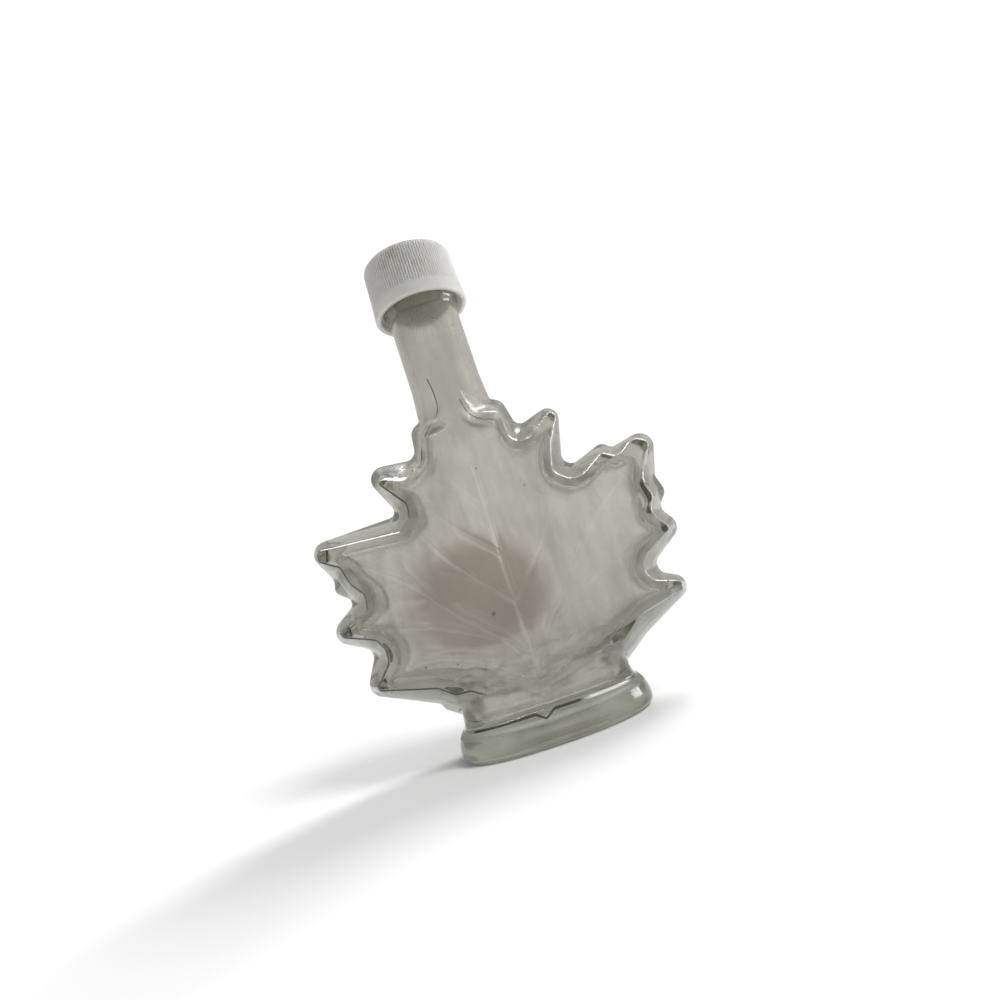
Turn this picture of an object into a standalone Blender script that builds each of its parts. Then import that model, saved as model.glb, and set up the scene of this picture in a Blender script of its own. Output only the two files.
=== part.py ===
"""Maple leaf bottle: a hollow clear glass bottle with a leaf-shaped body, and its screw cap.

The bottle stands upright on its oval foot. The origin is the middle of the foot's underside,
+Z runs up the neck, +X is to the right of the leaf's front face, and that face looks along -Y.
"""

import math

import bmesh
import bpy
import numpy as np
from mathutils.geometry import delaunay_2d_cdt

MM = 0.001  # every dimension below is in millimetres

# ---------------------------------------------------------------- leaf and foot, seen from the front
# Corners of the moulded edge, from the neck down to the foot: (distance from the middle, height,
# radius of the rounded corner). Tips and notches alternate.
NECK_RADIUS = 11.0
NECK_JOINT_HEIGHT = 109.0  # above this the neck is a plain turned tube
NECK_FOOT_RADIUS = 11.6    # the neck widens a little down to the leaf's shoulders
SHOULDER_HEIGHT = 100.0
RIGHT_CORNERS = [
    (NECK_FOOT_RADIUS, SHOULDER_HEIGHT, 0.8), (15.0, 98.0, 4.0),  # shoulder
    (17.0, 88.5, 2.5), (31.5, 93.0, 3.5),                        # upper lobe
    (25.5, 70.5, 3.0), (39.5, 75.5, 3.5), (42.0, 73.0, 2.5),     # small tooth on the big lobe
    (56.5, 76.0, 4.5), (51.5, 60.5, 2.0), (53.0, 55.0, 3.5),     # big lobe
    (49.0, 51.0, 3.0), (54.0, 44.0, 4.0),                        # side lobe
    (40.0, 34.5, 3.0), (53.0, 27.5, 3.5),                        # low lobe
    (33.0, 17.5, 2.0), (24.8, 11.8, 1.5),                        # down to the foot
]
LEFT_CORNERS = [
    (NECK_FOOT_RADIUS, SHOULDER_HEIGHT, 0.8), (15.0, 98.0, 3.5),
    (16.0, 89.0, 3.0), (34.0, 91.0, 4.0),
    (26.0, 74.0, 2.0), (57.0, 73.5, 4.0),
    (50.5, 61.0, 3.5), (51.5, 57.5, 2.5),
    (46.0, 53.0, 2.0), (58.0, 45.0, 4.0),
    (44.5, 37.5, 3.0), (50.5, 26.0, 4.0),
    (30.5, 17.0, 1.5), (29.5, 15.0, 1.0), (24.8, 11.8, 1.5),
]
LEAF_PEAK = (0.0, 107.0)  # where the leaf's face runs out on the neck
LEAF_BASE = (0.0, 6.5)    # where the leaf's face would end under the foot's rim
# The crease round the leaf's face, where the side wall meets it, with the same three numbers.
RIGHT_CREASE = [
    (3.0, 107.0, 0.0), (4.2, 98.6, 4.0), (5.7, 93.8, 2.5), (12.7, 93.3, 1.6),
    (13.6, 78.5, 6.0), (31.7, 91.8, 1.5),
    (24.2, 78.8, 6.0), (21.4, 70.1, 3.0), (27.2, 64.7, 3.0), (37.1, 71.0, 1.0), (41.3, 68.2, 1.5),
    (47.3, 72.7, 2.0), (51.6, 69.7, 1.6), (45.1, 59.6, 3.0), (46.7, 54.0, 1.2),
    (44.0, 50.2, 1.5), (48.0, 43.9, 0.9),
    (36.8, 38.0, 2.0), (36.9, 31.9, 3.0), (45.6, 29.3, 0.8), (45.2, 26.9, 0.8),
    (32.0, 24.2, 6.0), (24.6, 19.0, 3.0), (18.0, 18.8, 5.0), (0.0, 13.2, 0.0),
]
LEFT_CREASE = [
    (3.0, 107.0, 0.0), (3.0, 99.5, 4.0), (5.0, 95.4, 2.5), (11.0, 94.4, 1.5),
    (13.7, 85.6, 3.0), (20.6, 81.8, 3.5), (29.8, 85.9, 1.0),
    (21.3, 74.6, 3.0), (21.6, 70.2, 2.0), (25.0, 67.2, 2.5), (50.8, 70.0, 1.2), (51.2, 66.9, 1.0),
    (45.2, 63.1, 1.5), (43.6, 57.7, 2.5),
    (40.2, 53.4, 2.5), (40.4, 49.2, 2.5), (50.3, 45.4, 0.8), (49.8, 43.9, 0.8),
    (40.6, 40.2, 1.8), (38.7, 37.0, 2.0), (38.9, 33.2, 2.5), (44.6, 26.9, 0.8),
    (27.6, 22.6, 3.0), (23.4, 19.6, 2.0), (19.2, 19.4, 2.0), (15.6, 17.2, 2.0), (7.0, 16.6, 3.0),
    (0.0, 13.2, 0.0),
]

# ---------------------------------------------------------------- front to back
SEAM_ROUNDING = 0.25    # rounds the side wall where front and back meet, as a share of its width
CREASE_ROUNDING = 0.8   # rounds the crease between wall and face
BEYOND_CREASE_RISE = 0.25  # lets the wall run on past the crease, so that the face cuts it off
FACE_HEIGHTS = [(0.0, 15.6), (30.0, 15.6), (55.0, 14.8), (88.0, 12.0), (98.0, 11.4), (104.0, 10.4),
                (110.0, 8.0)]
LEAF_CENTRE = (0.0, 50.0)
LEAF_REACH = (55.0, 48.0)
DOME_DROP = 5.2         # how much lower the face lies at the tips than in the middle
DOME_SHARES = (0.2, 1.05)   # from and to these shares of the leaf's reach
DOME_SIDES = (5.0, 16.0)    # no drop along the middle line, so that the neck's foot is left alone
DOME_BASE = (12.0, 30.0)    # and none over the foot

# Foot: (height, half width, half depth, squareness of the oval)
FOOT_SECTIONS = [
    (0.0, 26.6, 18.6, 2.4), (0.9, 27.9, 19.9, 2.4), (2.3, 28.4, 20.4, 2.4), (4.2, 28.3, 20.4, 2.4),
    (5.8, 27.9, 20.1, 2.4), (6.9, 27.4, 19.4, 2.5), (7.6, 26.9, 18.4, 2.6), (8.2, 26.4, 16.9, 2.8),
    (8.6, 25.9, 15.5, 3.1), (9.1, 25.5, 14.8, 3.4), (10.0, 25.1, 14.5, 3.8),
    (12.0, 24.7, 14.4, 4.0), (16.0, 24.5, 14.3, 4.0), (24.0, 24.5, 12.0, 4.0),
]
FOOT_TOP_ROW = 10             # the section where the leaf's outline takes over
FOOT_BLEND = 0.5              # rounds the line where foot and leaf meet
NECK_BLEND = 0.8              # and the one where neck and leaf meet
FOOT_FADE = (17.0, 27.0)      # the foot's block runs out inside the leaf between these heights
NECK_FADE = (84.0, 96.0)      # and so does the neck's tube
UNDERSIDE_RIM = 4.5           # width of the flat ring that the bottle stands on
UNDERSIDE_RECESS = 1.2
RECESS_SHARES = (0.8, 0.75)   # the recess's flat middle, as shares of its width and depth

# ---------------------------------------------------------------- relief
STEM = dict(top=(0.0, 17.0), tip=(-1.8, 8.2), half_width=2.2, height=1.1, taper=0.75)
STEM_RISE = 0.35              # the share of its length over which the stem rises from the face
STEM_DEPTHS = (6.0, 12.0)     # none of it on the thin edge of the foot
VEIN_HEIGHT = 0.3
VEIN_WIDTH = 1.0
VEIN_FADE = (0.4, 2.5)        # veins run out this near the crease
# Paths for the right half, mirrored for the left: (x, z) from the stem outwards.
MAIN_VEIN = [(0.0, 15.0), (0.0, 78.0)]
SIDE_VEINS = [
    [(0.3, 15.0), (2.5, 23.0), (17.0, 40.0), (28.5, 53.0), (46.0, 66.0)],   # to the big lobe
    [(0.5, 16.0), (14.0, 25.5), (28.0, 30.0), (43.0, 28.5)],                # to the low lobe
    [(9.0, 30.5), (18.0, 35.5), (46.0, 44.5)],                              # to the side lobe
    [(0.0, 38.0), (9.5, 48.5), (20.5, 65.0), (26.0, 81.0)],                 # to the upper lobe
]

# ---------------------------------------------------------------- hollow
GLASS_WALL = 3.2
BORE_RADIUS = 8.2
FLOOR_HEIGHT = 9.2
FLOOR_ROUNDING = 1.4
FLOOR_SHARES = (0.93, 0.88)   # the hollow's flat floor, as shares of its width and depth
CAVITY_SHOULDER = 2.6         # how far within the crease the hollow reaches its full depth
CAVITY_ROUNDING = 1.6
CAVITY_FLOOR_BLEND = 8.0      # over this height the hollow takes on the oval of its floor
BORE_FADE = (92.0, 103.0)     # and between these heights the round of the bore
CAVITY_CORNERS = [
    (BORE_RADIUS, 101.0, 6.0), (11.0, 94.0, 6.0), (11.6, 83.0, 5.0), (26.5, 87.5, 4.0),
    (21.0, 68.0, 6.0), (50.5, 69.0, 5.0), (41.5, 52.5, 6.0), (49.0, 45.5, 4.0),
    (34.5, 35.5, 6.0), (47.0, 27.5, 4.5), (20.5, 18.5, 5.0),
]
CAVITY_FLOOR = dict(half_width=20.5, half_depth=10.8, squareness=3.2)
LOW_WALL = 1.2                # the wall is this much thicker down by the foot
LOW_WALL_HEIGHTS = (17.0, 28.0)

# ---------------------------------------------------------------- neck finish and cap
MOUTH_HEIGHT = 149.3
NECK_PROFILE = [(113.0, 11.0), (122.0, 11.0), (131.5, 11.0), (133.0, 11.6), (134.2, 12.3),
                (136.4, 12.3), (137.4, 11.4), (140.0, 11.4), (141.0, 12.4), (142.4, 12.4),
                (143.4, 11.4), (148.2, 11.4), (149.3, 10.4)]
MOUTH_LIP_RADIUS = 9.0
BORE_TOP = 148.4

CAP_BOTTOM = 133.7
CAP_TOP = 151.5
CAP_RADIUS_BOTTOM = 15.0
CAP_RADIUS_TOP = 14.3
CAP_WALL = 1.8
CAP_TOP_THICKNESS = 1.8
CAP_EDGE_ROUNDING = 0.9
CAP_BAND = 3.9          # smooth band under the ribs
RIB_COUNT = 108
RIB_DEPTH = 0.28
RIB_RUN_OUT = 0.5       # height over which the ribs rise from the band
CAP_LIP_CHAMFER = (0.4, 0.5)
CAP_BORE_DRAFT = 0.4    # the cap's inside is this much narrower at its ceiling
SHARP_ANGLE = 38.0      # edges that turn by more than these degrees are drawn sharp

# ---------------------------------------------------------------- mesh density
OUTLINE_STEP = 1.9
ARC_STEP = 1.0
WALL_SHARES = [0.12, 0.5]     # rows of points over the side wall
CREASE_INSETS = [0.0, 1.6]    # and along and inside the crease
NECK_INSETS = [0.5, 1.5]
NECK_INSETS_FROM = 97.0
FACE_GRID = 4.6
ROW_GAPS = dict(foot=0.4, neck=0.6, vein=0.8, ring=0.75, grid=2.6)
NECK_ROWS = (105.0, 101.5, 98.0, 95.0)
NECK_ROW_SIDES = 20
FOOT_ROWS = range(1, 12)      # sections that get a row of points over the front and the back
ROW_SHARE = 0.985             # such a row ends just inside the outline
FACE_ROWS = (12.6, 104.0)     # between these heights the leaf has its own points
CAVITY_RINGS = [0.7, 2.6, 5.0]
CAVITY_GRID = 6.5
CAVITY_STEP = 4.2
CAVITY_ROWS = (12.2, 106.5)
CAVITY_GAPS = dict(ring=0.6, grid=3.2)
RING_KEPT = 0.93              # a ring point is dropped where another edge is nearer than this share
NECK_SIDES = 32
VEIN_STEP = 4.5


# ================================================================ outlines
def rounded(corners, step):
    """Replace each corner (x, z, radius) of an open path by an arc; the ends stay as they are."""
    path = [np.array(corners[0][:2])]
    for before, corner, after in zip(corners, corners[1:], corners[2:]):
        point = np.array(corner[:2])
        to_before = np.array(before[:2]) - point
        to_after = np.array(after[:2]) - point
        reach = 0.49 * min(np.linalg.norm(to_before), np.linalg.norm(to_after))
        to_before /= np.linalg.norm(to_before)
        to_after /= np.linalg.norm(to_after)
        half_angle = math.acos(np.clip(to_before @ to_after, -1.0, 1.0)) / 2.0
        tangent = min(corner[2] / math.tan(half_angle), reach)
        radius = tangent * math.tan(half_angle)
        bisector = (to_before + to_after) / np.linalg.norm(to_before + to_after)
        centre = point + bisector * radius / math.sin(half_angle)
        start = point + to_before * tangent - centre
        first = math.atan2(start[1], start[0])
        end = point + to_after * tangent - centre
        turn = (math.atan2(end[1], end[0]) - first + math.pi) % (2.0 * math.pi) - math.pi
        pieces = max(2, round(abs(turn) * radius / step) + 1)
        for i in range(pieces + 1):
            angle = first + turn * i / pieces
            path.append(centre + radius * np.array([math.cos(angle), math.sin(angle)]))
    path.append(np.array(corners[-1][:2]))
    return path


def spaced(path, step):
    """Drop crowded points and split the long stretches of a path into pieces of about a step."""
    points = [np.array(path[0])]
    for i, end in enumerate(path[1:], 2):
        start = points[-1]
        length = np.linalg.norm(end - start)
        if length < 0.35 * step and i < len(path):
            continue
        pieces = max(1, round(length / step))
        points += [start + (end - start) * (j + 1) / pieces for j in range(pieces)]
    return points


def side_outline(corners, side, step):
    """One side's edge from the neck joint down to the underside; side is +1 or -1."""
    sections = reversed(FOOT_SECTIONS[:FOOT_TOP_ROW + 1])
    foot = [(half_width, height, 0.0) for height, half_width, _, _ in sections]
    ends = [(NECK_RADIUS, NECK_JOINT_HEIGHT, 0.0)] + corners
    leaf = rounded(ends + [foot[0]], step)
    path = spaced(leaf, step) + [np.array(point[:2]) for point in foot[1:]]
    return np.array(path) * np.array([side, 1.0])


def leaf_polygon():
    """The leaf alone, without neck and foot, as a closed polygon."""
    right = rounded([LEAF_PEAK + (0.0,)] + RIGHT_CORNERS + [LEAF_BASE + (0.0,)], ARC_STEP)
    left = rounded([LEAF_PEAK + (0.0,)] + LEFT_CORNERS + [LEAF_BASE + (0.0,)], ARC_STEP)
    left = np.array(left)[::-1] * np.array([-1.0, 1.0])
    return np.vstack([np.array(right), left[1:-1]])


def crease_line(corners, side, step):
    return np.array(spaced(rounded(corners, step), step)) * np.array([side, 1.0])


def crease_polygon():
    return np.vstack([crease_line(RIGHT_CREASE, 1.0, ARC_STEP),
                      crease_line(LEFT_CREASE, -1.0, ARC_STEP)[-2::-1]])


def cavity_outline(side, step):
    """One side's edge of the hollow, from the neck joint down to its floor."""
    ends = [(BORE_RADIUS, NECK_JOINT_HEIGHT, 0.0)] + CAVITY_CORNERS
    floor_edge = (CAVITY_FLOOR["half_width"], FLOOR_HEIGHT + FLOOR_ROUNDING, 0.0)
    path = spaced(rounded(ends + [floor_edge], step), step)
    return np.array(path) * np.array([side, 1.0])


def distance_to(points, polyline):
    """Distance of each point to the nearest stretch of a polyline."""
    nearest = np.full(len(points), np.inf)
    for start, end in zip(polyline, polyline[1:]):
        along = end - start
        share = np.clip((points - start) @ along / max(along @ along, 1e-12), 0.0, 1.0)
        gap = np.linalg.norm(points - start - share[:, None] * along, axis=1)
        nearest = np.minimum(nearest, gap)
    return nearest


def signed_distance(points, polygon):
    """Distance to a closed polygon, below nothing inside it."""
    gap = distance_to(points, np.vstack([polygon, polygon[:1]]))
    return np.where(inside(points, polygon), -gap, gap)


def nearest_on(points, polyline):
    """The nearest point of a polyline for each point."""
    best = np.full(len(points), np.inf)
    spot = np.zeros_like(points)
    for start, end in zip(polyline, polyline[1:]):
        along = end - start
        share = np.clip((points - start) @ along / max(along @ along, 1e-12), 0.0, 1.0)
        at = start + share[:, None] * along
        gap = np.sum((points - at) ** 2, axis=1)
        closer = gap < best
        best[closer], spot[closer] = gap[closer], at[closer]
    return spot


def inside(points, polygon):
    """True for each point inside a closed polygon."""
    result = np.zeros(len(points), bool)
    for start, end in zip(polygon, np.roll(polygon, -1, axis=0)):
        crosses = (start[1] > points[:, 1]) != (end[1] > points[:, 1])
        run = (end[0] - start[0]) * (points[:, 1] - start[1]) / ((end[1] - start[1]) or 1.0)
        result ^= crosses & (points[:, 0] < start[0] + run)
    return result


# ================================================================ half thickness, front to back
def smooth_step(value, low, high):
    share = np.clip((value - low) / (high - low), 0.0, 1.0)
    return share * share * (3.0 - 2.0 * share)


def smooth_min(a, b, width):
    return 0.5 * (a + b - np.sqrt((a - b) ** 2 + width ** 2 * fading(a, b)))


def smooth_max(a, b, width):
    return 0.5 * (a + b + np.sqrt((a - b) ** 2 + width ** 2 * fading(a, b)))


def fading(a, b):
    """1 where both heights are alike, 0 where one of them is nothing, so that edges stay exact."""
    return 2.0 * a * b / (a * a + b * b + 1e-9)


def table(value, rows, column):
    return np.interp(value, [row[0] for row in rows], [row[column] for row in rows])


def wall_share(t):
    """How high a side wall has risen at a share t of its way in: round at its foot, then straight."""
    return np.sqrt((t * t + SEAM_ROUNDING * t) / (1.0 + SEAM_ROUNDING))


def face_height(x, z):
    """The leaf's face: a low dome, with its crest over the middle and the foot."""
    reach = np.hypot((x - LEAF_CENTRE[0]) / LEAF_REACH[0], (z - LEAF_CENTRE[1]) / LEAF_REACH[1])
    drop = smooth_step(reach, *DOME_SHARES) * smooth_step(np.abs(x), *DOME_SIDES)
    return table(z, FACE_HEIGHTS, 1) - DOME_DROP * drop * smooth_step(z, *DOME_BASE)


def tube_height(x, radius):
    return np.sqrt(np.maximum(radius ** 2 - x ** 2, 0.0))


def oval_height(x, half_width, half_depth, squareness):
    share = np.clip(np.abs(x) / half_width, 0.0, 1.0)
    return half_depth * (1.0 - share ** squareness) ** (1.0 / squareness)


def foot_height(x, z):
    oval = oval_height(x, table(z, FOOT_SECTIONS, 1), table(z, FOOT_SECTIONS, 2),
                       table(z, FOOT_SECTIONS, 3))
    return oval * (1.0 - smooth_step(z, *FOOT_FADE))


def vein_paths():
    mirrored = [[(-x, z) for x, z in path] for path in SIDE_VEINS]
    return [np.array(path) for path in [MAIN_VEIN] + SIDE_VEINS + mirrored]


def vein_height(points):
    nearest = np.min([distance_to(points, path) for path in vein_paths()], axis=0)
    return VEIN_HEIGHT * np.exp(-(nearest / (0.5 * VEIN_WIDTH)) ** 2)


def stem_height(points):
    """The leaf's stem, a ridge that narrows to a point over the foot's rim."""
    top, tip = np.array(STEM["top"]), np.array(STEM["tip"])
    along = np.clip((points - top) @ (tip - top) / ((tip - top) @ (tip - top)), 0.0, 1.0)
    across = np.linalg.norm(points - top - along[:, None] * (tip - top), axis=1)
    half_width = STEM["half_width"] * (1.0 - STEM["taper"] * along)
    return STEM["height"] * smooth_step(along, 0.0, STEM_RISE) * np.exp(-(across / half_width) ** 2)


def ruled_height(top, inset, beyond, rounding):
    """A side wall that rises from an edge, inset 0, to a top's height at a crease, beyond 0."""
    outside = np.maximum(beyond, 0.0)
    rise = wall_share(inset / np.maximum(inset + outside, 1e-6))
    wall = top * np.where(beyond > 0.0, rise, 1.0 - BEYOND_CREASE_RISE * beyond)
    return smooth_min(wall, top, rounding)


def outer_height(points, leaf, crease):
    """Half thickness of the whole bottle below the neck joint."""
    x, z = points[:, 0], points[:, 1]
    inset = distance_to(points, np.vstack([leaf, leaf[:1]])) * inside(points, leaf)
    beyond = signed_distance(points, crease)
    slab = ruled_height(face_height(x, z) * (inset > 0.0), inset, beyond, CREASE_ROUNDING)
    slab = slab + smooth_step(-beyond, *VEIN_FADE) * vein_height(points)
    body = smooth_max(slab, foot_height(x, z), FOOT_BLEND)
    body = body + stem_height(points) * smooth_step(body, *STEM_DEPTHS)
    widening = (NECK_JOINT_HEIGHT - z) / (NECK_JOINT_HEIGHT - SHOULDER_HEIGHT)
    radius = NECK_RADIUS + (NECK_FOOT_RADIUS - NECK_RADIUS) * np.maximum(widening, 0.0)
    neck = tube_height(x, radius) * smooth_step(z, *NECK_FADE)
    return smooth_max(body, neck, NECK_BLEND)


def cavity_height(points, hollow, crease):
    """Half thickness of the hollow below the neck joint."""
    x, z = points[:, 0], points[:, 1]
    roof = face_height(x, z) - GLASS_WALL - LOW_WALL * (1.0 - smooth_step(z, *LOW_WALL_HEIGHTS))
    beyond = signed_distance(points, crease) + CAVITY_SHOULDER
    slab = ruled_height(roof, distance_to(points, hollow), beyond, CAVITY_ROUNDING)
    floor = oval_height(x, CAVITY_FLOOR["half_width"], CAVITY_FLOOR["half_depth"],
                        CAVITY_FLOOR["squareness"])
    floor_top = FLOOR_HEIGHT + FLOOR_ROUNDING
    over_floor = smooth_step(z, floor_top, floor_top + CAVITY_FLOOR_BLEND)
    slab = slab + (floor - slab) * (1.0 - over_floor)
    bore = tube_height(x, BORE_RADIUS)
    return slab + (bore - slab) * smooth_step(z, *BORE_FADE)


# ================================================================ meshing
def wall_rows(edge, crease):
    """Rows of points over the side wall, at fixed shares of the way from the edge to the crease."""
    to_crease = nearest_on(edge, crease)
    return np.vstack([edge + (to_crease - edge) * share for share in WALL_SHARES])


def inward_rings(outline, insets, side, closed_edge):
    """Rows of points that follow an outline at the given distances inside it."""
    along = np.gradient(outline, axis=0)
    normals = np.stack([along[:, 1], -along[:, 0]], axis=1) * side
    normals /= np.linalg.norm(normals, axis=1)[:, None]
    rows = []
    for inset in insets:
        row = outline + normals * inset
        rows.append(row[distance_to(row, closed_edge) > RING_KEPT * inset - 1e-6])
    return np.vstack(rows)


def thinned(points, fixed, gap):
    """Keep points in order, each at least a gap from the kept ones and from the fixed ones."""
    kept = list(fixed)
    for point, room in zip(points, gap):
        if np.min(np.sum((np.array(kept) - point) ** 2, axis=1)) > room ** 2:
            kept.append(point)
    return np.array(kept[len(fixed):])


def face_grid(polygon, step):
    low, high = polygon.min(axis=0), polygon.max(axis=0)
    columns = np.arange(-math.ceil(-low[0] / step), math.ceil(high[0] / step) + 1) * step
    rows = np.arange(math.floor(low[1] / step), math.ceil(high[1] / step) + 1) * step
    grid = [(x + 0.5 * step * (i % 2), z) for i, z in enumerate(rows) for x in columns]
    return np.array(grid)


def between(points, heights):
    return points[(points[:, 1] > heights[0]) & (points[:, 1] < heights[1])]


def interior_points(groups, fixed, edge):
    """Thin groups of (points, gap) that lie inside an edge, in order."""
    wanted = np.vstack([points for points, _ in groups])
    gaps = np.concatenate([np.full(len(points), gap) for points, gap in groups])
    keep = inside(wanted, edge)
    return thinned(wanted[keep], fixed, gaps[keep])


def triangulate(boundary, interior, side_ids):
    """Triangles over the outline; no inner edge may join two points of the side edges."""
    for _ in range(8):
        points = np.vstack([boundary, interior])
        loop = list(range(len(boundary)))
        flat = [tuple(point) for point in points.tolist()]
        coords, _, faces, origin, _, _ = delaunay_2d_cdt(flat, [], [loop], 1, 1e-6)
        names = [source[0] for source in origin]
        triangles = [[names[i] for i in face] for face in faces]
        chords = set()
        for triangle in triangles:
            for a, b in zip(triangle, triangle[1:] + triangle[:1]):
                beside = (b - a) % len(boundary) in (1, len(boundary) - 1)
                if a in side_ids and b in side_ids and not beside:
                    chords.add((min(a, b), max(a, b)))
        if not chords:
            return points, triangles
        middles = np.array([(points[a] + points[b]) / 2.0 for a, b in sorted(chords)])
        interior = np.vstack([interior, middles])
    raise RuntimeError("the outline still has chords")


def ring_columns(sides):
    """Angles of the points of one half ring, from the left edge to the right edge."""
    return [math.pi * i / (sides // 2) for i in range(sides // 2 + 1)]


def half_shell(mesh, right, left, top_row, bottom_row, interior, height, flip):
    """Front and back skin over one outline. Returns the rings of vertices at top and bottom."""
    boundary = np.vstack([right, bottom_row[::-1], left[::-1], top_row])
    low_right = len(right) - 1
    low_left = len(right) + len(bottom_row)
    high_left = low_left + len(left) - 1
    side_ids = set(range(low_right + 1)) | set(range(low_left, high_left + 1))
    points, triangles = triangulate(boundary, interior, side_ids)
    depth = height(points)
    front, back = {}, {}
    for i, (x, z) in enumerate(points):
        if i in side_ids:
            front[i] = back[i] = mesh.verts.new((x * MM, 0.0, z * MM))
        else:
            front[i] = mesh.verts.new((x * MM, -depth[i] * MM, z * MM))
            back[i] = mesh.verts.new((x * MM, depth[i] * MM, z * MM))
    for a, b, c in triangles:
        turned = np.cross(points[b] - points[a], points[c] - points[a]) < 0.0
        if turned != flip:
            a, c = c, a
        mesh.faces.new((front[a], front[b], front[c]))
        mesh.faces.new((back[c], back[b], back[a]))
    top_ids = list(range(high_left, len(boundary))) + [0]
    bottom_ids = list(range(low_left, low_right - 1, -1))
    top = [front[i] for i in top_ids] + [back[i] for i in top_ids[-2:0:-1]]
    bottom = [front[i] for i in bottom_ids] + [back[i] for i in bottom_ids[-2:0:-1]]
    return top, bottom


def ring(mesh, radius, height, sides):
    """A round ring that starts at the left edge and runs over the front to the right."""
    points = []
    for i in range(sides):
        angle = 2.0 * math.pi * i / sides
        points.append((-radius * math.cos(angle) * MM, -radius * math.sin(angle) * MM, height * MM))
    return [mesh.verts.new(point) for point in points]


def join_rings(mesh, lower, upper):
    """Quads between two rings of the same count, facing out when the upper one is above."""
    count = len(lower)
    for i in range(count):
        j = (i + 1) % count
        mesh.faces.new((lower[i], lower[j], upper[j], upper[i]))


def finish_mesh(mesh, name, material):
    bmesh.ops.triangulate(mesh, faces=[face for face in mesh.faces if len(face.verts) > 3])
    data = bpy.data.meshes.new(name)
    mesh.to_mesh(data)
    mesh.free()
    data.materials.append(material)
    data.shade_smooth()
    data.set_sharp_from_angle(angle=math.radians(SHARP_ANGLE))
    piece = bpy.data.objects.new(name, data)
    bpy.context.scene.collection.objects.link(piece)
    return piece


# ================================================================ bottle
def row_between(half_width, height, sides):
    """Points of a top or bottom row between, and without, the two side edges."""
    angles = ring_columns(sides)[1:-1]
    return np.array([(-half_width * math.cos(angle), height) for angle in angles])


def vein_rows():
    """Three rows of points along each vein, for its crest and its two sides."""
    rows = []
    for path in vein_paths():
        points = np.array(spaced(list(path), VEIN_STEP))
        along = np.gradient(points, axis=0)
        normals = np.stack([along[:, 1], -along[:, 0]], axis=1)
        normals /= np.linalg.norm(normals, axis=1)[:, None]
        rows += [points, points + normals * VEIN_WIDTH, points - normals * VEIN_WIDTH]
    return np.vstack(rows)


def foot_rows():
    return np.vstack([row_between(ROW_SHARE * FOOT_SECTIONS[i][1], FOOT_SECTIONS[i][0], NECK_SIDES)
                      for i in FOOT_ROWS])


def neck_rows():
    return np.vstack([row_between(NECK_RADIUS * ROW_SHARE, height, NECK_ROW_SIDES)
                      for height in NECK_ROWS])


def bottle_skin(mesh):
    right = side_outline(RIGHT_CORNERS, 1.0, OUTLINE_STEP)
    left = side_outline(LEFT_CORNERS, -1.0, OUTLINE_STEP)
    edge = np.vstack([right, left[::-1]])
    closed_edge = np.vstack([edge, edge[:1]])
    leaf = leaf_polygon()
    crease = crease_polygon()
    closed_crease = np.vstack([crease, crease[:1]])
    top_row = row_between(NECK_RADIUS, NECK_JOINT_HEIGHT, NECK_SIDES)
    bottom_row = row_between(FOOT_SECTIONS[0][1], 0.0, NECK_SIDES)
    rings = []
    for outline, corners, side in ((right, RIGHT_CREASE, 1.0), (left, LEFT_CREASE, -1.0)):
        neck_part = outline[outline[:, 1] > NECK_INSETS_FROM]
        crease_part = crease_line(corners, side, OUTLINE_STEP)
        rings += [inward_rings(crease_part, CREASE_INSETS, side, closed_crease),
                  inward_rings(neck_part, NECK_INSETS, side, closed_edge),
                  wall_rows(outline, closed_crease)]
    fixed = np.vstack([right, left, top_row, bottom_row])
    groups = [(foot_rows(), ROW_GAPS["foot"]), (neck_rows(), ROW_GAPS["neck"]),
              (vein_rows(), ROW_GAPS["vein"]),
              (between(np.vstack(rings), FACE_ROWS), ROW_GAPS["ring"]),
              (between(face_grid(edge, FACE_GRID), FACE_ROWS), ROW_GAPS["grid"])]
    return half_shell(mesh, right, left, top_row, bottom_row, interior_points(groups, fixed, edge),
                      lambda points: outer_height(points, leaf, crease), False)


def cavity_skin(mesh):
    right = cavity_outline(1.0, CAVITY_STEP)
    left = cavity_outline(-1.0, CAVITY_STEP)
    edge = np.vstack([right, left[::-1]])
    closed_edge = np.vstack([edge, edge[:1]])
    crease = crease_polygon()
    top_row = row_between(BORE_RADIUS, NECK_JOINT_HEIGHT, NECK_SIDES)
    bottom_row = row_between(CAVITY_FLOOR["half_width"], FLOOR_HEIGHT + FLOOR_ROUNDING, NECK_SIDES)
    rings = np.vstack([inward_rings(right, CAVITY_RINGS, 1.0, closed_edge),
                       inward_rings(left, CAVITY_RINGS, -1.0, closed_edge)])
    fixed = np.vstack([right, left, top_row, bottom_row])
    groups = [(between(rings, CAVITY_ROWS), CAVITY_GAPS["ring"]),
              (between(face_grid(edge, CAVITY_GRID), CAVITY_ROWS), CAVITY_GAPS["grid"])]
    return half_shell(mesh, right, left, top_row, bottom_row, interior_points(groups, fixed, edge),
                      lambda points: cavity_height(points, closed_edge, crease), True)


def scaled_ring(mesh, source, shrink_x, shrink_y, height):
    return [mesh.verts.new((vert.co.x * shrink_x, vert.co.y * shrink_y, height * MM))
            for vert in source]


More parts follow.
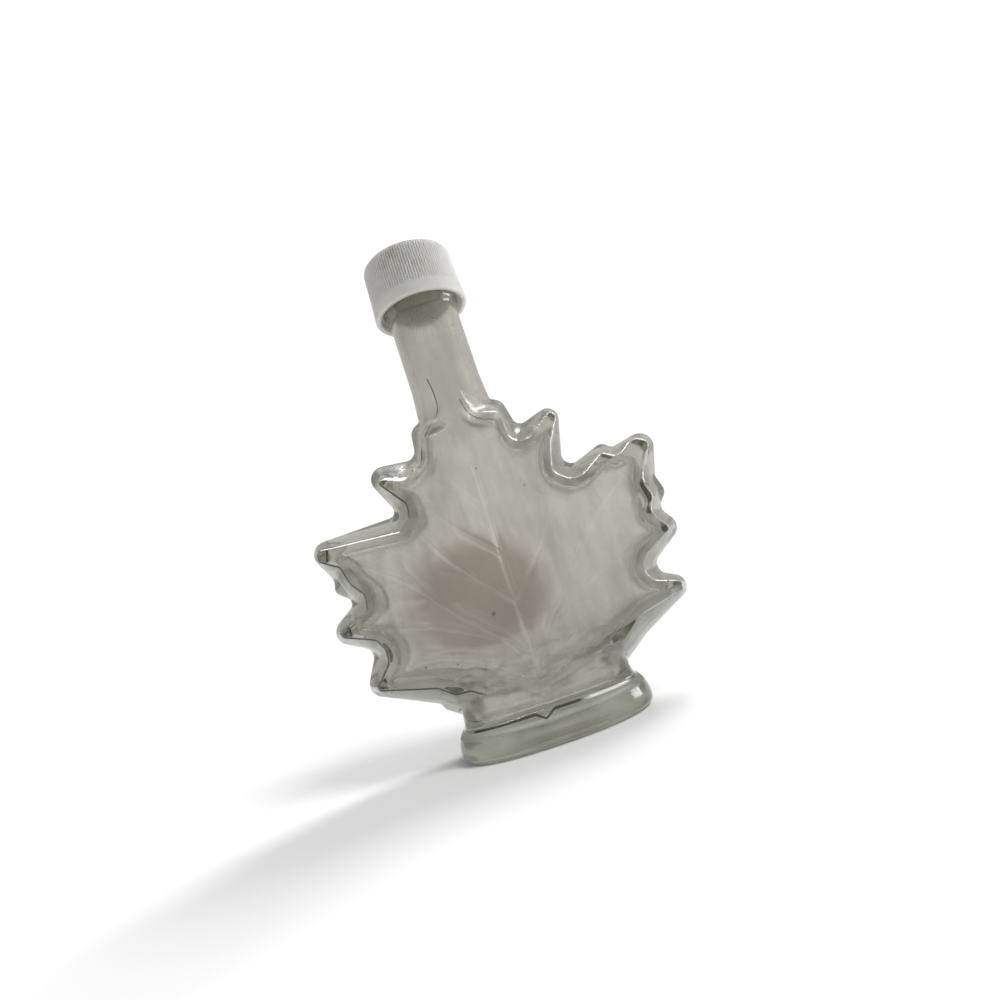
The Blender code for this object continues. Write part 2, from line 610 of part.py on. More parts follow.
def close_underside(mesh, edge_ring):
    """The flat ring that the bottle stands on, and the shallow recess inside it."""
    half_width, half_depth = FOOT_SECTIONS[0][1:3]
    shrink_x = 1.0 - UNDERSIDE_RIM / half_width
    shrink_y = 1.0 - UNDERSIDE_RIM / half_depth
    rim = scaled_ring(mesh, edge_ring, shrink_x, shrink_y, 0.0)
    recess = scaled_ring(mesh, rim, *RECESS_SHARES, UNDERSIDE_RECESS)
    join_rings(mesh, rim, edge_ring)
    join_rings(mesh, recess, rim)
    mesh.faces.new(recess[::-1])


def build_bottle(material):
    mesh = bmesh.new()
    neck_ring, foot_ring = bottle_skin(mesh)
    bore_ring, floor_ring = cavity_skin(mesh)
    close_underside(mesh, foot_ring)
    floor = scaled_ring(mesh, floor_ring, *FLOOR_SHARES, FLOOR_HEIGHT)
    join_rings(mesh, floor_ring, floor)
    mesh.faces.new(floor)
    lower = neck_ring
    for height, radius in NECK_PROFILE:
        upper = ring(mesh, radius, height, NECK_SIDES)
        join_rings(mesh, lower, upper)
        lower = upper
    lip = ring(mesh, MOUTH_LIP_RADIUS, MOUTH_HEIGHT, NECK_SIDES)
    join_rings(mesh, lower, lip)
    bore_top = ring(mesh, BORE_RADIUS, BORE_TOP, NECK_SIDES)
    join_rings(mesh, lip, bore_top)
    join_rings(mesh, bore_top, bore_ring)
    return finish_mesh(mesh, "leaf_bottle_glass", material)


# ================================================================ cap
def ribbed_ring(mesh, radius, height, groove):
    """A ring with two points for each rib: one on its crest, one in the groove beside it."""
    points = []
    for i in range(2 * RIB_COUNT):
        angle = math.pi * i / RIB_COUNT
        reach = (radius - groove * (i % 2)) * MM
        points.append((-reach * math.cos(angle), -reach * math.sin(angle), height * MM))
    return [mesh.verts.new(point) for point in points]


def fan_rings(mesh, coarse, fine):
    """Join a ring to one with more points; the fine ring is the outer or upper one."""
    share = len(fine) // len(coarse)
    for j, vert in enumerate(coarse):
        following = coarse[(j + 1) % len(coarse)]
        run = [fine[(j * share + i) % len(fine)] for i in range(share + 1)]
        middle = share // 2
        for a, b in zip(run[:middle], run[1:middle + 1]):
            mesh.faces.new((vert, b, a))
        mesh.faces.new((vert, following, run[middle]))
        for a, b in zip(run[middle:], run[middle + 1:]):
            mesh.faces.new((following, b, a))


def build_cap(material):
    mesh = bmesh.new()
    height = CAP_TOP - CAP_BOTTOM

    def wall_radius(z):
        share = (z - CAP_BOTTOM) / height
        return CAP_RADIUS_BOTTOM + (CAP_RADIUS_TOP - CAP_RADIUS_BOTTOM) * share

    band_top = CAP_BOTTOM + CAP_BAND
    rib_top = CAP_TOP - CAP_EDGE_ROUNDING
    levels = [
        (CAP_BOTTOM, wall_radius(CAP_BOTTOM) - CAP_LIP_CHAMFER[0], 0.0),
        (CAP_BOTTOM + CAP_LIP_CHAMFER[1], wall_radius(CAP_BOTTOM + CAP_LIP_CHAMFER[1]), 0.0),
        (band_top, wall_radius(band_top), 0.0),
        (band_top + RIB_RUN_OUT, wall_radius(band_top), RIB_DEPTH),
        (rib_top, wall_radius(rib_top), RIB_DEPTH),
        (CAP_TOP, wall_radius(CAP_TOP) - CAP_EDGE_ROUNDING, 0.0),
    ]
    rings = [ribbed_ring(mesh, radius, z, groove) for z, radius, groove in levels]
    for lower, upper in zip(rings, rings[1:]):
        join_rings(mesh, lower, upper)
    mesh.faces.new(rings[-1])
    inner_radius = CAP_RADIUS_BOTTOM - CAP_WALL
    inner_sides = RIB_COUNT // 3
    mouth = ring(mesh, inner_radius, CAP_BOTTOM, inner_sides)
    ceiling = ring(mesh, inner_radius - CAP_BORE_DRAFT, CAP_TOP - CAP_TOP_THICKNESS, inner_sides)
    fan_rings(mesh, mouth, rings[0])
    join_rings(mesh, ceiling, mouth)
    mesh.faces.new(ceiling[::-1])
    return finish_mesh(mesh, "screw_cap", material)


# ================================================================ materials
def make_material(name, colour, roughness, transmission):
    material = bpy.data.materials.new(name)
    material.use_nodes = True
    shader = material.node_tree.nodes["Principled BSDF"]
    shader.inputs["Base Color"].default_value = colour + (1.0,)
    shader.inputs["Roughness"].default_value = roughness
    shader.inputs["Metallic"].default_value = 0.0
    shader.inputs["Transmission Weight"].default_value = transmission
    return material


def main():
    for piece in list(bpy.data.objects):
        bpy.data.objects.remove(piece, do_unlink=True)
    glass = make_material("clear_glass", (0.80, 0.80, 0.76), 0.05, 0.9)
    plastic = make_material("white_plastic", (0.78, 0.78, 0.75), 0.45, 0.0)
    build_bottle(glass)
    build_cap(plastic)


main()
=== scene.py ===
"""Looks of the maple leaf bottle: clear moulded glass with leaf veins, and a ribbed screw cap.

The frame's two nodes are replaced by finer meshes on the same outlines and sections. Units in this
script are millimetres in the bottle's own frame, and go to metres where a mesh or place is made.
"""

import functools
import math

import bmesh
import bpy
import numpy as np
from mathutils import Matrix, Vector
from mathutils.geometry import delaunay_2d_cdt


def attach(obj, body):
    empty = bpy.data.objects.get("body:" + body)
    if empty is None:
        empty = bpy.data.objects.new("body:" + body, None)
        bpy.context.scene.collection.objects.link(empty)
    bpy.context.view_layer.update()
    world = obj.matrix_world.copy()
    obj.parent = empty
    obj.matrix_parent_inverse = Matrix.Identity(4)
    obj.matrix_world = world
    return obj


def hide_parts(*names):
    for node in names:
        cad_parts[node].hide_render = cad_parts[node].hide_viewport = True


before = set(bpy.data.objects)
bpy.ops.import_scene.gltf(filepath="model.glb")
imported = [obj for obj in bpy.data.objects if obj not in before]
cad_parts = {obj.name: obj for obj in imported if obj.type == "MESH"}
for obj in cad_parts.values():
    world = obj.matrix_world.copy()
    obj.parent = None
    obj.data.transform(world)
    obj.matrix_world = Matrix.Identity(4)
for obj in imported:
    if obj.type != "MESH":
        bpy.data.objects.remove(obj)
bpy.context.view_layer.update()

MM = 0.001

# ---- leaf and foot, seen from the front
NECK_RADIUS = 11.0
NECK_JOINT_HEIGHT = 109.0
NECK_FOOT_RADIUS = 11.6
SHOULDER_HEIGHT = 100.0
RIGHT_CORNERS = [
    (NECK_FOOT_RADIUS, SHOULDER_HEIGHT, 0.8), (15.0, 98.0, 4.0),
    (17.0, 88.5, 2.5), (31.5, 93.0, 3.5),
    (25.5, 70.5, 3.0), (39.5, 75.5, 3.5), (42.0, 73.0, 2.5),
    (56.5, 76.0, 4.5), (51.5, 60.5, 2.0), (53.0, 55.0, 3.5),
    (49.0, 51.0, 3.0), (54.0, 44.0, 4.0),
    (40.0, 34.5, 3.0), (53.0, 27.5, 3.5),
    (33.0, 17.5, 2.0), (24.8, 11.8, 1.5),
]
LEFT_CORNERS = [
    (NECK_FOOT_RADIUS, SHOULDER_HEIGHT, 0.8), (15.0, 98.0, 3.5),
    (16.0, 89.0, 3.0), (34.0, 91.0, 4.0),
    (26.0, 74.0, 2.0), (57.0, 73.5, 4.0),
    (50.5, 61.0, 3.5), (51.5, 57.5, 2.5),
    (46.0, 53.0, 2.0), (58.0, 45.0, 4.0),
    (44.5, 37.5, 3.0), (50.5, 26.0, 4.0),
    (30.5, 17.0, 1.5), (29.5, 15.0, 1.0), (24.8, 11.8, 1.5),
]
LEAF_PEAK = (0.0, 107.0, 0.0)
LEAF_BASE = (0.0, 6.5, 0.0)
# The crease round the leaf's face, where the side wall meets it, with the same three numbers.
RIGHT_CREASE = [
    (3.0, 107.0, 0.0), (4.2, 98.6, 4.0), (5.7, 93.8, 2.5), (12.7, 93.3, 1.6),
    (13.6, 78.5, 6.0), (31.7, 91.8, 1.5),
    (24.2, 78.8, 6.0), (21.4, 70.1, 3.0), (27.2, 64.7, 5.0), (37.1, 71.0, 1.5), (41.3, 68.2, 3.0),
    (47.3, 72.7, 3.5), (51.6, 69.7, 2.0), (45.1, 59.6, 8.0), (46.7, 54.0, 3.0),
    (44.0, 50.2, 3.5), (48.0, 43.9, 1.2),
    (36.8, 38.0, 6.0), (36.9, 31.9, 5.0), (45.6, 29.3, 1.2), (45.2, 26.9, 0.8),
    (32.0, 24.2, 6.0), (24.6, 19.0, 3.0), (18.0, 18.8, 5.0), (0.0, 13.2, 0.0),
]
LEFT_CREASE = [
    (3.0, 107.0, 0.0), (3.0, 99.5, 4.0), (5.0, 95.4, 2.5), (11.0, 94.4, 1.5),
    (13.7, 85.6, 3.0), (20.6, 81.8, 3.5), (29.8, 85.9, 1.0),
    (21.3, 74.6, 3.0), (21.6, 70.2, 2.0), (25.0, 67.2, 2.5), (50.8, 70.0, 1.2), (51.2, 66.9, 1.0),
    (45.2, 63.1, 1.5), (43.6, 57.7, 2.5),
    (40.2, 53.4, 2.5), (40.4, 49.2, 2.5), (50.3, 45.4, 0.8), (49.8, 43.9, 0.8),
    (40.6, 40.2, 1.8), (38.7, 37.0, 2.0), (38.9, 33.2, 2.5), (44.6, 26.9, 0.8),
    (27.6, 22.6, 3.0), (23.4, 19.6, 2.0), (19.2, 19.4, 2.0), (15.6, 17.2, 2.0), (7.0, 16.6, 3.0),
    (0.0, 13.2, 0.0),
]

# ---- front to back
SEAM_ROUNDING = 0.25
WALL_OVERRUN = 0.25     # how steeply the side wall would run on within the crease
CREASE_ROUNDING = 0.8
FOOT_JOINT_ROUNDING = 0.5
NECK_JOINT_ROUNDING = 0.8
FACE_HEIGHTS = [(0.0, 15.6), (30.0, 15.6), (55.0, 14.8), (88.0, 12.0), (98.0, 11.4), (104.0, 10.4),
                (110.0, 8.0)]
LEAF_CENTRE = (0.0, 50.0)
LEAF_REACH = (55.0, 48.0)
DOME_DROP = 5.2         # how much lower the face lies at the tips than in the middle
DOME_SHARES = (0.2, 1.05)
DOME_SIDES = (5.0, 16.0)
DOME_BASE = (12.0, 30.0)

# Foot: (height, half width, half depth, squareness of the oval)
FOOT_SECTIONS = [
    (0.0, 26.6, 18.6, 2.4), (0.9, 27.9, 19.9, 2.4), (2.3, 28.4, 20.4, 2.4), (4.2, 28.3, 20.4, 2.4),
    (5.8, 27.9, 20.1, 2.4), (6.9, 27.4, 19.4, 2.5), (7.6, 26.9, 18.4, 2.6), (8.2, 26.4, 16.9, 2.8),
    (8.6, 25.9, 15.5, 3.1), (9.1, 25.5, 14.8, 3.4), (10.0, 25.1, 14.5, 3.8),
    (12.0, 24.7, 14.4, 4.0), (16.0, 24.5, 14.3, 4.0), (24.0, 24.5, 12.0, 4.0),
]
FOOT_TOP = 10.0
FOOT_FADE = (17.0, 27.0)
NECK_FADE = (84.0, 96.0)
UNDERSIDE_RIM = 4.5
# The recess inside that rim: (share of the rim's width, height)
UNDERSIDE_ROWS = [(1.0, 0.0), (1.12, 0.15), (1.3, 0.6), (1.6, 1.0), (2.1, 1.2)]

# ---- relief
STEM = dict(top=(0.0, 17.0), tip=(-1.8, 8.2), half_width=2.2, height=1.1, taper=0.75,
            rise=(0.0, 0.35), fade=(6.0, 12.0))
VEIN_HEIGHT = 0.065
VEIN_FADE = (0.4, 2.5)          # within the crease
FAINT_VEINS = (0.55, 1.0, 3.0)  # the right half's veins are lower by this share, between these x
VEIN_WIDTH = 0.52
TWIG_HEIGHT = 0.035
MAIN_VEIN = [(0.0, 15.0), (0.0, 78.0)]
SIDE_VEINS = [
    [(0.3, 15.0), (2.5, 23.0), (17.0, 40.0), (28.5, 53.0), (46.0, 66.0)],
    [(0.5, 16.0), (14.0, 25.5), (28.0, 30.0), (43.0, 28.5)],
    [(9.0, 30.5), (18.0, 35.5), (46.0, 44.5)],
    [(0.0, 38.0), (9.5, 48.5), (20.5, 65.0), (26.0, 81.0)],
]
TWIGS = [
    [(17.0, 40.0), (25.0, 54.0), (29.5, 64.0)],
    [(28.0, 53.0), (40.0, 53.5)],
    [(0.0, 53.0), (9.0, 62.0), (18.0, 73.0)],
    [(0.0, 66.0), (5.5, 74.0), (9.9, 84.0)],
    [(22.0, 37.0), (32.5, 44.0)],
    [(23.0, 28.5), (33.0, 34.0)],
    [(24.0, 46.5), (37.0, 49.5)],
    [(7.5, 46.0), (19.0, 53.5)],
]

# Dark specks on the glass: ((x, z), radius)
SPECKS = [((-6.9, 36.9), 0.75), ((12.5, 68.5), 0.35), ((1.0, 77.8), 0.4), ((-29.6, 28.8), 0.45),
          ((-20.7, 27.0), 0.4), ((-42.5, 65.5), 0.35), ((-38.2, 67.9), 0.3)]

# ---- hollow
GLASS_WALL = 3.2
BORE_RADIUS = 8.2
FLOOR_HEIGHT = 9.2
FLOOR_ROUNDING = 1.4
FLOOR_TOP = FLOOR_HEIGHT + FLOOR_ROUNDING
CAVITY_SHOULDER = 2.6     # how far within the crease the hollow reaches its full depth
CAVITY_CORNERS = [
    (BORE_RADIUS, 101.0, 6.0), (11.0, 94.0, 6.0), (11.6, 83.0, 5.0), (26.5, 87.5, 4.0),
    (21.0, 68.0, 6.0), (50.5, 69.0, 5.0), (41.5, 52.5, 6.0), (49.0, 45.5, 4.0),
    (34.5, 35.5, 6.0), (47.0, 27.5, 4.5), (20.5, 18.5, 5.0),
]
CAVITY_FLOOR = dict(half_width=20.5, half_depth=10.8, squareness=3.2)
FLOOR_BLEND = 8.0
FLOOR_SHRINK = (0.07, 0.12)     # how much narrower and shallower the floor is below its rounding
CAVITY_ROUNDING = 1.6
BORE_FADE = (92.0, 103.0)
LOW_WALL = 1.2
LOW_WALL_HEIGHTS = (17.0, 28.0)

# ---- neck finish and cap
# From the neck joint up, over the mouth and into the bore: (height, radius)
NECK_PROFILE = [(113.0, 11.0), (122.0, 11.0), (129.0, 11.0), (131.5, 11.0), (132.3, 11.2),
                (133.0, 11.7), (133.7, 12.2), (134.6, 12.35), (136.0, 12.3), (136.8, 11.9),
                (137.4, 11.4), (140.0, 11.4), (140.5, 11.9), (141.2, 12.4), (142.2, 12.4),
                (142.9, 11.9), (143.4, 11.4), (148.0, 11.4), (148.9, 11.1), (149.3, 10.4),
                (149.3, 9.0), (148.4, BORE_RADIUS)]

CAP_BOTTOM = 133.7
CAP_TOP = 151.5
CAP_RADIUS_BOTTOM = 15.0
CAP_RADIUS_TOP = 14.3
CAP_WALL = 1.8
CAP_TOP_THICKNESS = 1.8
CAP_BAND = 3.9
RIB_COUNT = 108
RIB_DEPTH = 0.45
# Dirt on the cap: (place, radius, strength)
CAP_STAINS = [((-2.6, -14.3, 149.2), 3.0, 0.45), ((-6.6, -12.8, 146.5), 2.6, 0.3),
              ((4.5, -13.8, 143.0), 3.6, 0.2), ((-13.2, -6.9, 134.3), 0.5, 0.9)]
POINTS_PER_RIB = 6
CAP_SIDES = POINTS_PER_RIB * RIB_COUNT

# A vertex layer tells the glass material where it is: nothing on the leaf's face, up to 1 on the
# veins' crests, -1 on the side walls, and this on the inside, where it grows by 1 towards the rim.
INNER_MARK = 3.0
RIM_WIDTH = 5.0
# A second layer holds the lines of painted highlight and painted shade along the crease: see
# line_strength.
LINE_WIDTH = 0.15
PAINTED_SHADE_WIDTH = 0.36
BRIGHT_SIDE = (0.9, 0.4)        # the crease gets its painted highlight where it faces this way
BRIGHT_SPAN = (-0.42, -0.22)
LEAST_HIGHLIGHT = 0.25
HIGHLIGHT_SPAN = (-10.0, 14.0)
LINE_END = (88.0, 93.0)         # the lines fade out on the neck's foot, and over the bottle's foot
LINE_GAP = (13.0, 17.0)
LINE_GAP_TOP = (22.0, 26.0)
# Lines of painted shade round the pockets beside the neck: (path, width)
SHADE_STROKES = [
    ([(-4.6, 109.0), (-3.9, 103.0), (-4.4, 98.0), (-7.6, 94.6), (-10.4, 92.2)], 0.24),
    ([(2.8, 99.0), (3.8, 94.6), (6.0, 91.8), (9.2, 90.4)], 0.2),
]
# The painted shade in the right pocket lies where these two circles overlap: (centre, radius)
POCKET_CIRCLES = [((0.8, 94.2), 8.0), ((8.7, 100.6), 5.0)]
# The line along the foot's rim, which dips under the stem: painted shade, with a painted highlight
# on the right
RIM_LINE_HEIGHT = 8.5
RIM_LINE_EDGE = (0.22, 0.36)
RIM_LINE_END = (21.5, 23.5)
RIM_LINE_BRIGHT = (8.0, 11.0)
RIM_DIP_WIDTH = 2.6
RIM_DIP_DEPTH = 1.1
FOOT_CREST = 7.5

# ---- mesh density
OUTLINE_STEP = 0.62
ARC_STEP = 0.35
WALL_SHARES = [0.006, 0.025, 0.06, 0.11, 0.17, 0.24, 0.32, 0.41, 0.5, 0.6, 0.7, 0.79, 0.87, 0.93,
               0.97]
CREASE_INSETS = [0.0, 0.12, 0.3, 0.55, 0.9, 1.4, 2.1]
NECK_INSETS = [0.04, 0.14, 0.32, 0.6, 1.0, 1.6, 2.4]
NECK_ROWS_BOTTOM = 97.0
FACE_GRID = 1.25
FACE_BOTTOM = 12.6              # the foot has rows of its own up to here
FACE_ROWS = dict(rings=(FACE_BOTTOM, 108.6), grid=(FACE_BOTTOM, 108.4))
CAVITY_STEP = 0.9
CAVITY_RINGS = [0.06, 0.25, 0.6, 1.1, 1.7, 2.5, 3.4, 4.4, 5.5, 6.7]
CAVITY_GRID = 1.6
CAVITY_SHOULDER_ROWS = (-0.6, 0.0, 0.6, 1.3)
CAVITY_ROWS = dict(rings=(FLOOR_TOP + 0.4, 108.5), grid=(FLOOR_TOP + 0.6, 108.2))
NECK_SIDES = 96
VEIN_STEP = 0.6
FOOT_ROW_STEP = 0.4
FOOT_ROWS_TOP = 12.4


# ==== outlines
def rounded(corners, step):
    """Replace each corner (x, z, radius) of an open path by an arc; the ends stay as they are."""
    path = [np.array(corners[0][:2])]
    for before, corner, after in zip(corners, corners[1:], corners[2:]):
        point = np.array(corner[:2])
        to_before = np.array(before[:2]) - point
        to_after = np.array(after[:2]) - point
        reach = 0.49 * min(np.linalg.norm(to_before), np.linalg.norm(to_after))
        to_before /= np.linalg.norm(to_before)
        to_after /= np.linalg.norm(to_after)
        half_angle = math.acos(np.clip(to_before @ to_after, -1.0, 1.0)) / 2.0
        tangent = min(corner[2] / math.tan(half_angle), reach)
        radius = tangent * math.tan(half_angle)
        bisector = (to_before + to_after) / np.linalg.norm(to_before + to_after)
        centre = point + bisector * radius / math.sin(half_angle)
        start = point + to_before * tangent - centre
        first = math.atan2(start[1], start[0])
        end = point + to_after * tangent - centre
        turn = (math.atan2(end[1], end[0]) - first + math.pi) % (2.0 * math.pi) - math.pi
        pieces = max(2, round(abs(turn) * radius / step) + 1)
        for i in range(pieces + 1):
            angle = first + turn * i / pieces
            path.append(centre + radius * np.array([math.cos(angle), math.sin(angle)]))
    path.append(np.array(corners[-1][:2]))
    return path


def spaced(path, step):
    """Drop crowded points and split the long stretches of a path into pieces of about a step."""
    points = [np.array(path[0])]
    for i, end in enumerate(path[1:], 2):
        start = points[-1]
        length = np.linalg.norm(end - start)
        if length < 0.35 * step and i < len(path):
            continue
        pieces = max(1, round(length / step))
        points += [start + (end - start) * (j + 1) / pieces for j in range(pieces)]
    return points


def side_outline(corners, side):
    """One side's edge from the neck joint down to the underside; side is +1 or -1."""
    heights = np.linspace(FOOT_TOP, 0.0, round(FOOT_TOP / FOOT_ROW_STEP) + 1)
    foot = [np.array([foot_size(height, 1), height]) for height in heights]
    corners = [(NECK_RADIUS, NECK_JOINT_HEIGHT, 0.0)] + corners + [tuple(foot[0]) + (0.0,)]
    path = spaced(rounded(corners, OUTLINE_STEP), OUTLINE_STEP) + foot[1:]
    return np.array(path) * (side, 1.0)


def leaf_polygon():
    """The leaf alone, without neck and foot, as a closed polygon."""
    right, left = (np.array(rounded([LEAF_PEAK] + corners + [LEAF_BASE], ARC_STEP)) * (side, 1.0)
                   for corners, side in ((RIGHT_CORNERS, 1.0), (LEFT_CORNERS, -1.0)))
    return np.vstack([right, left[-2:0:-1]])


def crease_lines():
    """The crease's right and left half, both from the top down."""
    return [np.array(spaced(rounded(corners, ARC_STEP), ARC_STEP)) * (side, 1.0)
            for corners, side in ((RIGHT_CREASE, 1.0), (LEFT_CREASE, -1.0))]


def crease_polygon():
    right, left = crease_lines()
    return np.vstack([right, left[-2::-1]])


def cavity_outline(side):
    """One side's edge of the hollow, from the neck joint down to its floor."""
    top, end = (BORE_RADIUS, NECK_JOINT_HEIGHT, 0.0), (CAVITY_FLOOR["half_width"], FLOOR_TOP, 0.0)
    path = spaced(rounded([top] + CAVITY_CORNERS + [end], CAVITY_STEP), CAVITY_STEP)
    return np.array(path) * (side, 1.0)


def closed(polygon):
    return np.vstack([polygon, polygon[:1]])


def nearest_on(points, polyline):
    """The nearest place on a polyline for each point, and how far it is."""
    best = np.full(len(points), np.inf)
    spot = np.zeros_like(points)
    for start, end in zip(polyline, polyline[1:]):
        along = end - start
        share = np.clip((points - start) @ along / max(along @ along, 1e-12), 0.0, 1.0)
        at = start + share[:, None] * along
        gap = np.sum((points - at) ** 2, axis=1)
        closer = gap < best
        best[closer], spot[closer] = gap[closer], at[closer]
    return spot, np.sqrt(best)


def distance_to(points, polyline):
    return nearest_on(points, polyline)[1]


def signed_distance(points, polygon):
    """Distance to a closed polygon, below nothing inside it."""
    gap = distance_to(points, closed(polygon))
    return np.where(inside(points, polygon), -gap, gap)


def inside(points, polygon):
    """True for each point inside a closed polygon."""
    result = np.zeros(len(points), bool)
    for start, end in zip(polygon, np.roll(polygon, -1, axis=0)):
        crosses = (start[1] > points[:, 1]) != (end[1] > points[:, 1])
        run = (end[0] - start[0]) * (points[:, 1] - start[1]) / ((end[1] - start[1]) or 1.0)
        result ^= crosses & (points[:, 0] < start[0] + run)
    return result


# ==== half thickness, front to back
def smooth_step(value, low, high):
    share = np.clip((value - low) / (high - low), 0.0, 1.0)
    return share * share * (3.0 - 2.0 * share)


def smooth_max(a, b, width):
    """The greater of two heights, rounded where they are alike, and exact where one is nothing."""
    alike = 2.0 * a * b / (a * a + b * b + 1e-9)
    return 0.5 * (a + b + np.sqrt((a - b) ** 2 + width ** 2 * alike))


def smooth_min(a, b, width):
    return -smooth_max(-a, -b, width)


def smooth_table(value, rows, column):
    """Read a column of a table of rising rows along a smooth curve through its points."""
    at = np.array([row[0] for row in rows])
    to = np.array([row[column] for row in rows])
    slope = np.gradient(to, at)
    value = np.clip(value, at[0], at[-1])
    i = np.clip(np.searchsorted(at, value) - 1, 0, len(at) - 2)
    width = at[i + 1] - at[i]
    t = (value - at[i]) / width
    return (to[i] * (1 + 2 * t) * (1 - t) ** 2 + slope[i] * width * t * (1 - t) ** 2
            + to[i + 1] * t * t * (3 - 2 * t) + slope[i + 1] * width * t * t * (t - 1))


def foot_size(height, column):
    return smooth_table(height, FOOT_SECTIONS, column)


def wall_share(t):
    """How high a side wall has risen at a share t of its way in: first round, then straight."""
    return np.sqrt((t * t + SEAM_ROUNDING * t) / (1.0 + SEAM_ROUNDING))


def face_height(x, z):
    """The leaf's face: a low dome, with its crest over the middle and the foot."""
    reach = np.hypot((x - LEAF_CENTRE[0]) / LEAF_REACH[0], (z - LEAF_CENTRE[1]) / LEAF_REACH[1])
    drop = smooth_step(reach, *DOME_SHARES) * smooth_step(np.abs(x), *DOME_SIDES)
    return smooth_table(z, FACE_HEIGHTS, 1) - DOME_DROP * drop * smooth_step(z, *DOME_BASE)


def tube_height(x, radius):
    return np.sqrt(np.maximum(radius ** 2 - x ** 2, 0.0))


def oval_height(x, half_width, half_depth, squareness):
    share = np.clip(np.abs(x) / half_width, 0.0, 1.0)
    return half_depth * (1.0 - share ** squareness) ** (1.0 / squareness)


def foot_height(x, z):
    oval = oval_height(x, foot_size(z, 1), foot_size(z, 2), foot_size(z, 3))
    return oval * (1.0 - smooth_step(z, *FOOT_FADE))


def mirrored(paths):
    return paths + [[(-x, z) for x, z in path] for path in paths]


def curve_through(path, step):
    """A smooth curve through the points of a path, sampled about every step."""
    points = np.array(path)
    along = np.concatenate([[0.0], np.cumsum(np.linalg.norm(np.diff(points, axis=0), axis=1))])
    count = max(2, round(along[-1] / step) + 1)
    at = np.linspace(0.0, along[-1], count)
    rows = [(s, x, z) for s, (x, z) in zip(along, points)]
    return np.stack([smooth_table(at, rows, 1), smooth_table(at, rows, 2)], axis=1)


def vein_curves():
    """The leaf's veins as (curve, height) pairs."""
    paths = [(path, VEIN_HEIGHT) for path in [MAIN_VEIN] + mirrored(SIDE_VEINS)]
    paths += [(path, TWIG_HEIGHT) for path in mirrored(TWIGS)]
    return [(curve_through(path, VEIN_STEP), height) for path, height in paths]


def vein_height(points, curves):
    height = np.zeros(len(points))
    for curve, top in curves:
        near = distance_to(points, curve[::3])
        height = np.maximum(height, top * np.exp(-(near / (0.5 * VEIN_WIDTH)) ** 2))
    return height


def stem_height(points):
    """The leaf's stem, a ridge that narrows to a point over the foot's rim."""
    top, tip = np.array(STEM["top"]), np.array(STEM["tip"])
    along = np.clip((points - top) @ (tip - top) / ((tip - top) @ (tip - top)), 0.0, 1.0)
    across = np.linalg.norm(points - top - along[:, None] * (tip - top), axis=1)
    half_width = STEM["half_width"] * (1.0 - STEM["taper"] * along)
    return STEM["height"] * smooth_step(along, *STEM["rise"]) * np.exp(-(across / half_width) ** 2)


def walled(face, inset, beyond, rounding):
    """A face's height, less the side wall's slope: inset from its edge, beyond (or, below nothing,
    within) its crease."""
    rise = wall_share(inset / np.maximum(inset + np.maximum(beyond, 0.0), 1e-6))
    wall = face * np.where(beyond > 0.0, rise, 1.0 - WALL_OVERRUN * beyond)
    return smooth_min(wall, face, rounding)


def slab_height(points, inset, beyond):
    """Half thickness of the leaf alone."""
    face = face_height(points[:, 0], points[:, 1]) * (inset > 0.0)
    return walled(face, inset, beyond, CREASE_ROUNDING)


def outer_height(points, inset, beyond):
    """Half thickness of the bottle below the neck joint, without veins and stem."""
    x, z = points[:, 0], points[:, 1]
    slab = slab_height(points, inset, beyond)
    body = smooth_max(slab, foot_height(x, z), FOOT_JOINT_ROUNDING)
    widening = (NECK_JOINT_HEIGHT - z) / (NECK_JOINT_HEIGHT - SHOULDER_HEIGHT)
    radius = NECK_RADIUS + (NECK_FOOT_RADIUS - NECK_RADIUS) * np.maximum(widening, 0.0)
    neck = tube_height(x, radius) * smooth_step(z, *NECK_FADE)
    return smooth_max(body, neck, NECK_JOINT_ROUNDING)


def cavity_height(points, inset, beyond):
    """Half thickness of the hollow below the neck joint."""
    x, z = points[:, 0], points[:, 1]
    roof = face_height(x, z) - GLASS_WALL - LOW_WALL * (1.0 - smooth_step(z, *LOW_WALL_HEIGHTS))
    slab = walled(roof, inset, beyond + CAVITY_SHOULDER, CAVITY_ROUNDING)
    floor = oval_height(x, **CAVITY_FLOOR)
    slab = slab + (floor - slab) * (1.0 - smooth_step(z, FLOOR_TOP, FLOOR_TOP + FLOOR_BLEND))
    bore = tube_height(x, BORE_RADIUS)
    return slab + (bore - slab) * smooth_step(z, *BORE_FADE)


# ==== meshing
def wall_rows(edge, crease):
    """Rows of points over the side wall, at fixed shares of the way from the edge to the crease."""
    to_crease, _ = nearest_on(edge, crease)
    to_edge, _ = nearest_on(crease, edge)
    rows = []
    for share in WALL_SHARES:
        rows.append(edge + (to_crease - edge) * share)
        if share > 0.3:
            rows.append(to_edge + (crease - to_edge) * share)
    return np.vstack(rows)


def normals_along(line):
    along = np.gradient(line, axis=0)
    normals = np.stack([along[:, 1], -along[:, 0]], axis=1)
    return normals / np.linalg.norm(normals, axis=1)[:, None]


def inward_rings(lines, insets, edge):
    """Rows of points at the given distances inside an edge, along its right and left lines."""
    rows = []
    for line, side in zip(lines, (1.0, -1.0)):
        for inset in insets:
            row = line + normals_along(line) * side * inset
            rows.append(row[distance_to(row, closed(edge)) > 0.95 * inset])
    return rows


